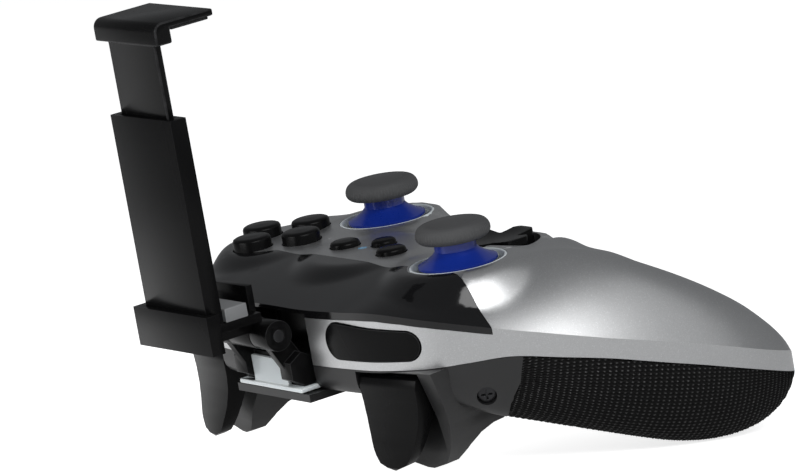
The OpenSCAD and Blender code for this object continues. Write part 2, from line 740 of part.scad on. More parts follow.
// Buttons that slide in the face
flange = 0.8;
flange_t = 1;
face_room = 1.7;
button_edge = 0.8;
button_dome = 0.2;
foot_in = 1;
module push_button(d, top, under) {
    r = d / 2;
    rotate_extrude() polygon([[0, bench_z], [r - foot_in, bench_z], [r - foot_in, under - flange_t],
        [r + flange, under - flange_t], [r + flange, under], [r, under], [r, top - button_edge],
        [r - button_edge / 3, top - button_edge / 3], [r - button_edge, top], [0, top + button_dome]]);
}
function under_face(z) = z - wall - face_room;
module face_button(k) {
    p = face_pos(k);
    color([0.06, 0.06, 0.06]) stand() translate([p[0], p[1], 0])
        push_button(face_d, face_z + face_rise, under_face(face_z));
}
module north_button() { face_button(0); }
module east_button() { face_button(1); }
module south_button() { face_button(2); }
module west_button() { face_button(3); }
module menu_button(x, y, d) {
    color([0.05, 0.05, 0.05]) stand() translate([x, y, 0])
        push_button(d, menu_z + menu_rise, under_face(menu_z));
}
module select_button() { menu_button(-menu_x, 0, menu_d); }
module start_button() { menu_button(menu_x, 0, menu_d); }
module home_button() { menu_button(0, home_y, home_d); }
sheet_t = 1;
dome_r = 2.6;
sheet_rim = 0.8;
module domes(places, travel) {
    for (p = places) translate([p[0], p[1], board_z])
        cylinder(r = dome_r, h = bench_z - travel - gap - board_z);
}
module face_button_membrane() {
    color([0.5, 0.5, 0.52]) stand() {
        translate([stick_x, 0, board_z]) cylinder(r = face_pitch + dome_r + sheet_rim, h = sheet_t);
        domes([for (k = [0:3]) face_pos(k)], face_travel);
    }
}
module menu_button_membrane() {
    rim = dome_r + sheet_rim;
    l = 2 * (menu_x + rim);
    color([0.5, 0.5, 0.52]) stand() {
        difference() {
            translate([-l / 2, home_y - rim, board_z]) cube([l, 2 * rim - home_y, sheet_t]);
            translate(light_pos) cylinder(d = light_d + 2 * gap, h = tall, center = true);
        }
        domes([[-menu_x, 0], [menu_x, 0], [0, home_y]], menu_travel);
    }
}
module status_light() {
    color([0.55, 0.8, 0.95]) stand() translate([light_pos[0], light_pos[1], board_z])
        cylinder(d = light_d, h = menu_z - board_z);
}

// Bumpers
bumper_sag = bumper_y - (front_y(bumper_x - bumper_l / 2) + front_y(bumper_x + bumper_l / 2)) / 2;
least_sag = 0.6;
bumper_bow = (pow(bumper_l / 2, 2) + bumper_sag * bumper_sag) / (2 * max(least_sag, bumper_sag));
bumper_proud = 0.8;
bumper_reach = 6.2;
bumper_depth = bumper_reach + bumper_travel;
bumper_tail = 1.2;
bumper_step = 0.6;
bow_fn = 120;
module bumper_outline(grow) {
    hull() {
        translate([(bumper_h - bumper_l) / 2, 0]) circle(d = bumper_h + 2 * grow);
        translate([(bumper_l - bumper_end_h) / 2, (bumper_end_h - bumper_h) / 2])
            circle(d = bumper_end_h + 2 * grow);
    }
}
module bumper_hole() {
    face_on(-bumper_depth - bumper_tail - bumper_travel - gap, tall / 4) bumper_outline(gap);
}
module bumper(side) {
    color([0.05, 0.05, 0.05]) stand() handed(side) at_bumper() {
        intersection() {
            face_on(-bumper_depth, bumper_depth) bumper_outline(0);
            translate([0, bumper_proud - bumper_bow, 0])
                cylinder(r = bumper_bow, h = tall, center = true, $fn = bow_fn);
        }
        face_on(-bumper_depth - bumper_tail, -bumper_depth) bumper_outline(-bumper_step);
    }
}
module left_bumper() { bumper(-1); }
module right_bumper() { bumper(1); }

// Triggers
pin_r = pin_d / 2;
ear_t = 1.4;
spring_room_r = 4.2;
module trigger(side) {
    color([0.06, 0.06, 0.06]) stand() handed(side) at_trigger() difference() {
        union() {
            intersection() {
                side_on(tall) trigger_side();
                face_on(-tall / 2, tall / 2) trigger_face();
            }
            translate([0, trigger_pivot[0], trigger_pivot[1]]) rotate([0, 90, 0])
                cylinder(r = barrel_r, h = trigger_w, center = true);
        }
        translate([0, trigger_pivot[0], trigger_pivot[1]]) rotate([0, 90, 0]) {
            cylinder(r = pin_r + run, h = tall, center = true);
            cylinder(r = spring_room_r, h = spring_l + 2 * gap, center = true);
        }
    }
}
module left_trigger() { trigger(-1); }
module right_trigger() { trigger(1); }
module trigger_pin(side) {
    color("lightgray") stand() handed(side) at_trigger()
        translate([0, trigger_pivot[0], trigger_pivot[1]]) rotate([0, 90, 0])
        cylinder(r = pin_r, h = trigger_w + 2 * (gap + ear_t), center = true);
}
module left_trigger_pin() { trigger_pin(-1); }
module right_trigger_pin() { trigger_pin(1); }
bracket_low = -27.6;
bracket_run = 7.4;
bracket_nose = 3;
bracket_back = trigger_pivot[0] - bracket_run;
bracket_front = trigger_pivot[0] + bracket_nose;
bracket_wall = 2;
bracket_rise = 5;
ear_x = trigger_w / 2 + gap;
// Room for a bracket in the floor of the bottom shell
module bracket_space() {
    translate([-ear_x - ear_t - seat, bracket_back - seat, bracket_low - seat])
        cube([2 * (ear_x + ear_t + seat), bracket_front - bracket_back + 2 * seat, overshoot]);
}
module trigger_bracket(side) {
    color([0.2, 0.2, 0.21]) stand() handed(side) at_trigger() difference() {
        union() {
            both_sides() translate([ear_x, bracket_back, bracket_low])
                cube([ear_t, bracket_front - bracket_back, trigger_pivot[1] + pin_d - bracket_low]);
            translate([-ear_x - ear_t, bracket_back, bracket_low])
                cube([2 * (ear_x + ear_t), bracket_wall, bracket_rise]);
        }
        translate([0, trigger_pivot[0], trigger_pivot[1]]) rotate([0, 90, 0])
            cylinder(r = pin_r + seat, h = tall, center = true);
    }
}
module left_trigger_bracket() { trigger_bracket(-1); }
module right_trigger_bracket() { trigger_bracket(1); }
// A torsion spring wound round the pin, in the gap in the middle of the trigger's barrel
spring_l = 6;
spring_wire = 0.6;
spring_turns = 5;
spring_r = 2.5;
spring_sides = 6;
spring_rings = 8;
spring_lead = (spring_l - spring_wire) / spring_turns;
echo(spring_gap = spring_lead - spring_wire);
module trigger_spring(side) {
    n = spring_turns * spring_rings;
    rings = [for (i = [0:n]) let (a = 360 * i / spring_rings) [for (k = [0:spring_sides - 1])
        let (b = 360 * k / spring_sides, r = spring_r + spring_wire / 2 * cos(b))
        [(spring_l - spring_wire) * (i / n - 0.5) + spring_wire / 2 * sin(b), r * cos(a), r * sin(a)]]];
    color("silver") stand() handed(side) at_trigger()
        translate([0, trigger_pivot[0], trigger_pivot[1]]) loft(rings);
}
module left_trigger_spring() { trigger_spring(-1); }
module right_trigger_spring() { trigger_spring(1); }

// Inside the body
board_front = 18.4;
board_back = -36.5;
board_w = 100;
wide_front = 13;
board_wide_back = -33;
neck_w = 50;
battery_front = 10;
module main_board() {
    color("darkgreen") stand() difference() {
        translate([0, 0, board_z - board_t]) linear_extrude(board_t) {
            translate([-board_w / 2, board_wide_back]) square([board_w, wide_front - board_wide_back]);
            translate([-neck_w / 2, board_back]) square([neck_w, board_front - board_back]);
        }
        at_posts() cylinder(d = screw_d + 4 * seat, h = tall, center = true);
    }
}
module battery() {
    color("steelblue") stand()
        translate([-battery_l / 2, battery_front - battery_w, board_z - board_t - seat - battery_t])
        cube([battery_l, battery_w, battery_t]);
}
module usb_socket() {
    color("lightgray") stand() difference() {
        translate([-usb_w / 2, back_y + usb_set, usb_z - usb_h / 2]) cube([usb_w, usb_l, usb_h]);
        translate([-usb_w / 2 + usb_t, back_y, usb_z - usb_h / 2 + usb_t])
            cube([usb_w - 2 * usb_t, usb_l, usb_h - 2 * usb_t]);
    }
}
slot_l = 2.8;
slot_w = 0.6;
slot_h = 0.8;
module screw(len) {
    difference() {
        union() {
            translate([0, 0, screw_sink]) cylinder(d = screw_head_d, h = screw_head_h);
            translate([0, 0, screw_sink]) cylinder(d = screw_d, h = screw_head_h + len);
        }
        for (a = [0, 90]) rotate([0, 0, a])
            translate([-slot_l / 2, -slot_w / 2, screw_sink - slot_h]) cube([slot_l, slot_w, 2 * slot_h]);
    }
}
module case_screws() {
    color("dimgray") stand() {
        at_posts() screw(post_screw_len);
        at_side_screws() screw(screw_len);
    }
}

// Hinge and holder
hinge = [38.5, -11.3];
back_plane = 53.5;
pad_t = 0.8;
pad_rim = 1;
pad_proud = 0.5;
sleeve_in = back_plane + pad_proud;
sleeve_out = sleeve_in + sleeve_t;
bar_mid = sleeve_in + sleeve_t / 2;
jaw_low = -0.3;
bracket_w = 26;
bracket_h = 7.6;
ear_root = [33, -21.3];
root_r = 4.4;
root_x = 7.8;
web_t = 2.4;
web_r = 3;
module on_hinge() {
    translate([0, hinge[0], hinge[1]]) rotate([0, 90, 0]) children();
}
module at_root() {
    translate([root_x, ear_root[0], ear_root[1]]) rotate([0, 90, 0]) children();
}
module hinge_bracket() {
    ear_w = (bracket_w - knuckle_w) / 2 - gap;
    color([0.06, 0.06, 0.06]) stand() difference() {
        union() {
            both_sides() {
                translate([knuckle_w / 2 + gap, 0, 0]) on_hinge() cylinder(d = knuckle_d, h = ear_w);
                hull() {
                    translate([root_x, 0, 0]) on_hinge() cylinder(r = web_r, h = web_t);
                    at_root() cylinder(r = web_r, h = web_t);
                }
                at_root() cylinder(r = root_r, h = bracket_w / 2 - root_x, $fn = 6);
            }
            translate([-bracket_w / 2, pocket_back + liner_t + 2 * seat, lip_z + seat])
                cube([bracket_w, fascia_y - pocket_back - liner_t - 4 * seat, bracket_h]);
        }
        on_hinge() cylinder(r = hinge_pin_d / 2 + seat, h = tall, center = true);
    }
}
module hinge_pin() {
    color("gray") stand() on_hinge() cylinder(d = hinge_pin_d, h = bracket_w, center = true);
}
shelf_z = -6;
shelf_t = 2.2;
shelf_w = 28;
lip_w = 18;
lip_t = 1.8;
lip_top = 2.4;
sill = 3.6;
foot_proud = 2;
foot_out = sleeve_out + foot_proud;
foot_t = 3.8;
arm_t = 4.4;
module holder_foot() {
    color([0.06, 0.06, 0.06]) stand() difference() {
        union() {
            translate([-foot_w / 2, foot_out - foot_t, jaw_low - foot_h]) cube([foot_w, foot_t, foot_h]);
            translate([-shelf_w / 2, back_plane - jaw_depth + lip_t, shelf_z])
                cube([shelf_w, foot_out - foot_t / 2 - back_plane + jaw_depth - lip_t, shelf_t]);
            translate([-lip_w / 2, back_plane - jaw_depth, shelf_z]) cube([lip_w, lip_t, lip_top - shelf_z]);
            on_hinge() cylinder(d = knuckle_d, h = knuckle_w, center = true);
            translate([-knuckle_w / 2, hinge[0], jaw_low - foot_h])
                cube([knuckle_w, foot_out - foot_t / 2 - hinge[0], arm_t]);
        }
        on_hinge() cylinder(r = hinge_pin_d / 2 + run, h = tall, center = true);
        translate([-sleeve_w / 2 - seat, sleeve_in - seat, shelf_z + shelf_t])
            cube([sleeve_w + 2 * seat, sleeve_t + 2 * seat, tall]);
        at_holder_screws() cylinder(d = screw_d + 2 * seat, h = tall, center = true);
        at_holder_screws() translate([0, 0, -foot_h]) cylinder(d = screw_head_d, h = foot_h);
        for (k = [-1, 1]) translate([k * knuckle_w / 4, 0, 0]) on_hinge() difference() {
            cylinder(d = 2 * knuckle_d, h = ring_len + 2 * seat, center = true);
            cylinder(d = knuckle_d - 2 * ring_t, h = tall, center = true);
            translate([-knuckle_d, 0, -ring_len]) cube([tall, tall, 2 * ring_len]);
        }
    }
}
ring_len = 4.4;
ring_t = 1;
teeth = 18;
tooth_h = 0.55;
module knuckle_rings() {
    turn = 360 / teeth;
    color([0.08, 0.08, 0.08]) stand() for (k = [-1, 1]) translate([k * knuckle_w / 4, 0, 0]) on_hinge()
        linear_extrude(ring_len, center = true) difference() {
            polygon([for (i = [0:2 * teeth - 1]) let (r = knuckle_d / 2 + tooth_h * (i % 2 == 0 ? 0.4 : -0.6))
                r * [cos(i * turn / 2), sin(i * turn / 2)]]);
            circle(d = knuckle_d - 2 * ring_t + 2 * seat);
            translate([-knuckle_d, -seat]) square(tall);
        }
}
holder_screw_len = 7;
module at_holder_screws() {
    both_sides() translate([sleeve_w / 4, sleeve_in + sleeve_t / 2, shelf_z]) children();
}
module holder_screws() {
    color("dimgray") stand() at_holder_screws() translate([0, 0, -screw_head_h]) {
        cylinder(d = screw_head_d - 2 * gap, h = screw_head_h);
        cylinder(d = screw_d, h = holder_screw_len);
    }
}
bar_low = 12;
slot_low = -1;
module holder_sleeve() {
    low = shelf_z + shelf_t + seat;
    color([0.06, 0.06, 0.06]) stand() difference() {
        translate([-sleeve_w / 2, sleeve_in, low]) cube([sleeve_w, sleeve_t, sleeve_top + jaw_low - low]);
        translate([-bar_w / 2 - gap, bar_mid - bar_t / 2 - gap, slot_low])
            cube([bar_w + 2 * gap, bar_t + 2 * gap, tall]);
        at_holder_screws() cylinder(d = screw_d + 2 * seat, h = holder_screw_len + gap);
        translate([-pad_w / 2 - seat, back_plane, pad_low - seat])
            cube([pad_w + 2 * seat, pad_proud + pad_in + seat, pad_h + 2 * seat]);
        translate([-brake_w / 2 - seat, bar_mid, brake_low - seat])
            cube([brake_w + 2 * seat, bar_t / 2 + gap + brake_in, brake_h + 2 * seat]);
    }
}
hook_w = 29;
hook_t = 1.8;
hook_drop = 5.6;
module holder_bar() {
    jaw = jaw_low + jaw_gap + pad_t;
    color([0.06, 0.06, 0.06]) stand() {
        translate([-bar_w / 2, bar_mid - bar_t / 2, bar_low]) cube([bar_w, bar_t, jaw - bar_low]);
        translate([-hook_w / 2, back_plane - jaw_depth, jaw])
            cube([hook_w, sleeve_out - back_plane + jaw_depth, hook_t]);
        translate([-hook_w / 2, sleeve_in, jaw + hook_t - hook_drop]) cube([hook_w, sleeve_t, hook_drop]);
    }
}
brake_w = 8;
brake_low = 30;
brake_h = 12;
brake_in = 0.7;
brake_t = 0.3;
module bar_brake() {
    color("silver") stand()
        translate([-brake_w / 2, bar_mid + bar_t / 2 + gap + brake_in - brake_t - seat, brake_low])
        cube([brake_w, brake_t, brake_h]);
}
module lower_jaw_pad() {
    color([0.75, 0.77, 0.78]) stand()
        translate([-shelf_w / 2, back_plane - jaw_depth + lip_t + sill, shelf_z + shelf_t])
        cube([shelf_w, jaw_depth - lip_t - sill - gap, jaw_low - shelf_z - shelf_t]);
}
module upper_jaw_pad() {
    color([0.12, 0.12, 0.12]) stand()
        translate([-hook_w / 2 + pad_rim, back_plane - jaw_depth + pad_rim, jaw_low + jaw_gap])
        cube([hook_w - 2 * pad_rim, jaw_depth - pad_rim - gap, pad_t]);
}
pad_w = 20;
pad_low = 6;
pad_h = 36;
pad_in = 0.4;
module back_pad() {
    color([0.12, 0.12, 0.12]) stand() translate([-pad_w / 2, back_plane, pad_low])
        cube([pad_w, pad_proud + pad_in, pad_h]);
}

top_shell();
bottom_shell();
front_panel();
hinge_pocket_trim();
hinge_pocket_liner();
left_grip();
right_grip();
left_stick_ring();
right_stick_ring();
left_stick_case();
right_stick_case();
left_stick_yoke();
right_stick_yoke();
left_stick_rocker();
right_stick_rocker();
left_stick_stem();
right_stick_stem();
left_stick_cap();
right_stick_cap();
dpad();
dpad_spider();
dpad_frame();
north_button();
south_button();
east_button();
west_button();
face_button_membrane();
select_button();
start_button();
home_button();
menu_button_membrane();
status_light();
left_bumper();
right_bumper();
left_trigger();
right_trigger();
left_trigger_bracket();
right_trigger_bracket();
left_trigger_pin();
right_trigger_pin();
left_trigger_spring();
right_trigger_spring();
main_board();
battery();
usb_socket();
case_screws();
hinge_bracket();
hinge_pin();
holder_foot();
knuckle_rings();
holder_sleeve();
holder_screws();
holder_bar();
bar_brake();
lower_jaw_pad();
upper_jaw_pad();
back_pad();
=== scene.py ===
import json
import math

import bmesh
import bpy
from mathutils import Matrix, Vector
from mathutils.bvhtree import BVHTree
from mathutils.geometry import intersect_point_line


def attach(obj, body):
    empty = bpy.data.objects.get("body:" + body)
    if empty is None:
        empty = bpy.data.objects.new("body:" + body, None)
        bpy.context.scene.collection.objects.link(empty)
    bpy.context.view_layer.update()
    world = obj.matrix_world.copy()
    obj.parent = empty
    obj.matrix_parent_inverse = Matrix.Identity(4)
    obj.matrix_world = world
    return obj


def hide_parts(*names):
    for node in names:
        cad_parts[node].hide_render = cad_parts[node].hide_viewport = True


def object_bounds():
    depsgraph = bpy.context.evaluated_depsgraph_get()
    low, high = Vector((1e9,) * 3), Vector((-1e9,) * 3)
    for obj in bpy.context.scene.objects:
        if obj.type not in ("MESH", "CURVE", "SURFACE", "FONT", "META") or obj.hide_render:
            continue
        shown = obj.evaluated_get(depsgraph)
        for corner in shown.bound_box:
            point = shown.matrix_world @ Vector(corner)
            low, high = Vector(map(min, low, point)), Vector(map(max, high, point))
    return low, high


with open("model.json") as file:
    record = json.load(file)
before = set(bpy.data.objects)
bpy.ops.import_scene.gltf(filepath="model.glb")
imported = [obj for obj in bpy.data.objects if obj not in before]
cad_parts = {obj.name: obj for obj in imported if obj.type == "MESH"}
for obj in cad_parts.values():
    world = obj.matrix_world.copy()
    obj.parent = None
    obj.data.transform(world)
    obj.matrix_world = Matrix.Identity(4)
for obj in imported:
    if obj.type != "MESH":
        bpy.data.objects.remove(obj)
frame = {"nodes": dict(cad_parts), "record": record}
CAD_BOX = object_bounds()

bl_info = {
    "name": "Clamp controller dressing",
    "version": (1, 0, 0),
    "blender": (4, 5, 0),
    "location": "View3D > Sidebar > Controller",
    "description": "Finished surfaces, materials and studio for the packed game controller",
    "category": "Object",
}

MM = 0.001
BODIES = frame["record"]["behaviour"]["bodies"]
BODY_OF = {node: body for body, nodes in BODIES.items() for node in nodes}
SLOT_OF = {row["node"]: row["material_slot"] for row in frame["record"]["subparts"]}

# The control face's frame: millimetres, pitched on its handles as the solids are
REST_PITCH = math.radians(8.1)
STAND = (Matrix.Translation((0, 0.007, 0.050085)) @ Matrix.Rotation(-REST_PITCH, 4, "X")
         @ Matrix.Scale(MM, 4))


# ---------------------------------------------------------------- settings

def length(name, description, default):
    """A length property in metres."""
    return bpy.props.FloatProperty(name=name, description=description, default=default,
                                   min=0, unit="LENGTH", subtype="DISTANCE", precision=5)


def tint(name, description, default):
    """A linear colour property."""
    return bpy.props.FloatVectorProperty(name=name, description=description, default=default,
                                         size=3, min=0, max=1, subtype="COLOR")


class ControllerSizes(bpy.types.PropertyGroup):
    """Sizes that the dressing adds to the solids."""
    skin_step: length("Skin step", "Longest edge on the curved skins", 0.0016)
    skin_catch: length("Skin catch", "Distance within which a solid's face is taken as skin", 0.00045)
    holder_edge: length("Holder edge", "Rounding along the holder's edges", 0.00045)
    jaw_turn: length("Jaw turn", "Radius of the turn at the outer end of each jaw", 0.0024)
    pad_edge: length("Pad edge", "Rounding along the edges of the direction pad", 0.0008)
    knurl_edge: length("Knurl edge", "Rounding along the ridges of the hinge's rings", 0.00012)
    shoulder_edge: length("Shoulder edge", "Rounding along the edges of bumpers and triggers", 0.0007)
    trim_edge: length("Trim edge", "Rounding along the edges of the bright trim", 0.0003)
    rib_depth: length("Rib depth", "Depth of the ribs round a stick cap", 0.00016)
    rib_count: bpy.props.IntProperty(name="Ribs", description="Ribs round a stick cap",
                                     default=72, min=12, max=120)
    weave_along: length("Weave pitch along", "Pitch of the grip's relief along the handle", 0.00155)
    weave_round: length("Weave pitch round", "Pitch of the grip's relief round the handle", 0.0012)
    weave_depth: length("Weave depth", "Depth of the grip's relief", 0.00042)
    lens: bpy.props.FloatProperty(name="Lens", description="Focal length of the camera",
                                  default=286.88, min=1, unit="CAMERA")


class ControllerColours(bpy.types.PropertyGroup):
    """Colours of the finishes, in linear values."""
    silver: tint("Silver paint", "Satin metallic paint of the top shell", (0.5, 0.505, 0.51))
    satin: tint("Satin black", "Moulded black of the holder, shoulders and underside",
                (0.0048, 0.0048, 0.005))
    matte: tint("Matte black", "Moulded black of the bottom shell", (0.013, 0.013, 0.0135))
    gloss: tint("Gloss black", "Polished black of the front panel", (0.006, 0.006, 0.0065))
    trim: tint("Bright trim", "Plating of the hinge pocket and stick rings", (0.8, 0.86, 0.88))
    rubber: tint("Grip rubber", "Black rubber of the grips", (0.004, 0.004, 0.004))
    blue: tint("Stem blue", "Moulded blue of the stick stems", (0.006, 0.026, 0.26))
    cap: tint("Cap rubber", "Dark grey rubber of the stick caps", (0.072, 0.073, 0.075))
    pad: tint("Jaw pad", "Pale rubber of the lower jaw", (0.2, 0.205, 0.21))
    light: tint("Status light", "Pale blue light pipe", (0.3, 0.58, 0.85))
    floor: tint("Floor", "Pale studio floor", (0.9, 0.9, 0.9))


# ---------------------------------------------------------------- shader groups

def shader_group(name, inputs, outputs):
    """A new node group with its sockets, its input node and its output node."""
    tree = bpy.data.node_groups.new(name, "ShaderNodeTree")
    for label, kind, default in inputs:
        socket = tree.interface.new_socket(name=label, in_out="INPUT", socket_type=kind)
        if default is not None:
            socket.default_value = default
    for label, kind in outputs:
        tree.interface.new_socket(name=label, in_out="OUTPUT", socket_type=kind)
    return tree, tree.nodes.new("NodeGroupInput"), tree.nodes.new("NodeGroupOutput")


VALUE, VECTOR = "NodeSocketFloat", "NodeSocketVector"


def add(tree, kind, **values):
    """A new node with its properties set by name."""
    node = tree.nodes.new(kind)
    for key, value in values.items():
        setattr(node, key, value)
    return node


def math_node(tree, operation, a, b=None, clamp=False):
    """The output of a math node fed by sockets or numbers."""
    node = add(tree, "ShaderNodeMath", operation=operation, use_clamp=clamp)
    for k, value in enumerate((a, b)):
        if value is None:
            continue
        if isinstance(value, (int, float)):
            node.inputs[k].default_value = value
        else:
            tree.links.new(value, node.inputs[k])
    return node.outputs[0]


def remap(tree, value, low, high, to_low, to_high):
    """A value mapped from one span to another, held at its ends."""
    node = add(tree, "ShaderNodeMapRange", clamp=True)
    tree.links.new(value, node.inputs["Value"])
    for label, number in (("From Min", low), ("From Max", high), ("To Min", to_low), ("To Max", to_high)):
        node.inputs[label].default_value = number
    return node.outputs[0]


def noise_node(tree, vector, scale, detail=2.0, roughness=0.55):
    """The factor of a noise texture; scale is a socket or a number."""
    node = add(tree, "ShaderNodeTexNoise")
    tree.links.new(vector, node.inputs["Vector"])
    node.inputs["Detail"].default_value = detail
    node.inputs["Roughness"].default_value = roughness
    if isinstance(scale, (int, float)):
        node.inputs["Scale"].default_value = scale
    else:
        tree.links.new(scale, node.inputs["Scale"])
    return node.outputs["Fac"]


def mould_group():
    """Fine mould grain, slow patches of handling, and the rounded edges broken by noise, which the finishes
    make lighter as wear and as a painted edge highlight; from Object coordinates.
    """
    tree, given, out = shader_group(
        "mould_grain", [("Vector", VECTOR, None), ("Grain Scale", VALUE, 3000.0)],
        [("Grain", VALUE), ("Patches", VALUE), ("Edge", VALUE)])
    grain = noise_node(tree, given.outputs["Vector"], given.outputs["Grain Scale"], 3.0, 0.6)
    patches = noise_node(tree, given.outputs["Vector"], 70.0, 4.0, 0.6)
    # Rounded edges, broken by noise: lighter for wear and as a painted edge highlight
    edge = add(tree, "ShaderNodeAttribute", attribute_name="worn_and_lit_edge")
    broken = remap(tree, noise_node(tree, given.outputs["Vector"], 420.0, 3.0, 0.6), 0.3, 0.62, 0.35, 1.0)
    worn_and_lit = math_node(tree, "MULTIPLY", edge.outputs["Fac"], broken, clamp=True)
    tree.links.new(grain, out.inputs["Grain"])
    tree.links.new(patches, out.inputs["Patches"])
    tree.links.new(worn_and_lit, out.inputs["Edge"])
    return tree


def flake_group():
    """Metal flakes: a random value for each flake, and how far it tips."""
    tree, given, out = shader_group(
        "metal_flake", [("Vector", VECTOR, None), ("Flake Scale", VALUE, 5200.0)],
        [("Flake", VALUE), ("Glint", VALUE)])
    cells = add(tree, "ShaderNodeTexVoronoi", feature="F1")
    tree.links.new(given.outputs["Vector"], cells.inputs["Vector"])
    tree.links.new(given.outputs["Flake Scale"], cells.inputs["Scale"])
    split = add(tree, "ShaderNodeSeparateColor")
    tree.links.new(cells.outputs["Color"], split.inputs[0])
    tree.links.new(split.outputs[0], out.inputs["Flake"])
    tree.links.new(remap(tree, split.outputs[1], 0.9, 1.0, 0.0, 1.0), out.inputs["Glint"])
    return tree


class Finishes:
    """The materials, made once by their slot's name."""
    made = {}
    groups = {}

    @classmethod
    def group(cls, name):
        if name not in cls.groups:
            cls.groups[name] = {"mould_grain": mould_group, "metal_flake": flake_group}[name]()
        return cls.groups[name]


def placed(tree, name, vector, **values):
    """A shader group placed in a material, with its own values."""
    node = add(tree, "ShaderNodeGroup", node_tree=Finishes.group(name))
    tree.links.new(vector, node.inputs["Vector"])
    for label, value in values.items():
        node.inputs[label.replace("_", " ")].default_value = value
    return node


def blend_colours(tree, factor, first, second):
    """Two colours mixed by a mask; each is a colour or a socket."""
    node = add(tree, "ShaderNodeMix", data_type="RGBA")
    tree.links.new(factor, node.inputs[0])
    for socket, value in ((node.inputs[6], first), (node.inputs[7], second)):
        if isinstance(value, bpy.types.NodeSocket):
            tree.links.new(value, socket)
        else:
            socket.default_value = (*value, 1.0)
    return node.outputs[2]


def scaled(colour, k):
    """A colour made lighter or darker."""
    return tuple(min(1.0, c * k) for c in colour)


def bump(tree, shader, height, distance):
    """A bump of a real depth in metres, on a shader's normal."""
    node = add(tree, "ShaderNodeBump")
    node.inputs["Strength"].default_value = 1.0
    node.inputs["Distance"].default_value = distance
    tree.links.new(height, node.inputs["Height"])
    tree.links.new(node.outputs["Normal"], shader.inputs["Normal"])


def new_finish(name):
    """An empty material with its shader and Object coordinates."""
    material = bpy.data.materials.new(name)
    material.use_nodes = True
    tree = material.node_tree
    shader = tree.nodes["Principled BSDF"]
    place = add(tree, "ShaderNodeTexCoord").outputs["Object"]
    Finishes.made[name] = material
    return tree, shader, place


def moulded_finish(name, colour, rough, grain, depth, edge=1.6, metallic=0.0, coat=0.0, spread=0.08,
                   shade=0.85, specular=0.5):
    """Moulded plastic, rubber or bare metal: grain, patches, and rounded edges made lighter for wear and as
    a painted highlight. Lengths in metres.
    """
    tree, shader, place = new_finish(name)
    mould = placed(tree, "mould_grain", place, Grain_Scale=1 / grain)
    body = blend_colours(tree, mould.outputs["Patches"], scaled(colour, shade), scaled(colour, 2 - shade))
    # Painted edge highlight, partly wear: the rounded edges take the colour times edge
    worn_and_lit = blend_colours(tree, mould.outputs["Edge"], body, scaled(colour, edge))
    tree.links.new(worn_and_lit, shader.inputs["Base Color"])
    mixed = math_node(tree, "ADD", math_node(tree, "MULTIPLY", mould.outputs["Patches"], 0.7),
                      math_node(tree, "MULTIPLY", mould.outputs["Grain"], 0.3))
    tree.links.new(remap(tree, mixed, 0.3, 0.7, max(0.02, rough - spread), rough + spread),
                   shader.inputs["Roughness"])
    shader.inputs["Metallic"].default_value = metallic
    shader.inputs["Coat Weight"].default_value = coat
    shader.inputs["Coat Roughness"].default_value = 0.06
    shader.inputs["Specular IOR Level"].default_value = specular
    bump(tree, shader, mould.outputs["Grain"], depth)


def silver_finish(colour):
    """Satin metallic paint: flakes under a thin clear coat."""
    tree, shader, place = new_finish("silver_paint")
    mould = placed(tree, "mould_grain", place, Grain_Scale=2600.0)
    flake = placed(tree, "metal_flake", place)
    body = blend_colours(tree, flake.outputs["Flake"], scaled(colour, 0.95), scaled(colour, 1.05))
    glint = blend_colours(tree, flake.outputs["Glint"], body, scaled(colour, 1.2))
    # Rounded edges a quarter lighter: wear and a painted edge highlight
    worn_and_lit = blend_colours(tree, mould.outputs["Edge"], glint, scaled(colour, 1.25))
    tree.links.new(worn_and_lit, shader.inputs["Base Color"])
    mixed = math_node(tree, "ADD", math_node(tree, "MULTIPLY", mould.outputs["Patches"], 0.6),
                      math_node(tree, "MULTIPLY", flake.outputs["Flake"], 0.4))
    tree.links.new(remap(tree, mixed, 0.2, 0.8, 0.31, 0.39), shader.inputs["Roughness"])
    shader.inputs["Metallic"].default_value = 0.9
    shader.inputs["Coat Weight"].default_value = 0.15
    shader.inputs["Coat Roughness"].default_value = 0.22
    bump(tree, shader, flake.outputs["Flake"], 0.0000025)


def grip_finish(colour):
    """Black rubber that is rubbed smoother on the crests of its relief, with painted glints: the crests are
    coloured much lighter.
    """
    tree, shader, place = new_finish("grip_rubber")
    mould = placed(tree, "mould_grain", place, Grain_Scale=2600.0)
    height = add(tree, "ShaderNodeAttribute", attribute_name="crest").outputs["Fac"]
    crest = remap(tree, height, 0.45, 0.95, 0.0, 1.0)
    body = blend_colours(tree, mould.outputs["Patches"], scaled(colour, 0.8), scaled(colour, 1.2))
    # Painted glints: the crests are coloured nine times lighter than the rubber
    tree.links.new(blend_colours(tree, crest, body, scaled(colour, 9.0)), shader.inputs["Base Color"])
    tree.links.new(remap(tree, crest, 0.0, 1.0, 0.6, 0.4), shader.inputs["Roughness"])
    shader.inputs["Specular IOR Level"].default_value = 0.1
    tree.links.new(math_node(tree, "MULTIPLY", crest, 0.8), shader.inputs["Coat Weight"])
    shader.inputs["Coat Roughness"].default_value = 0.3
    bump(tree, shader, mould.outputs["Grain"], 0.00002)


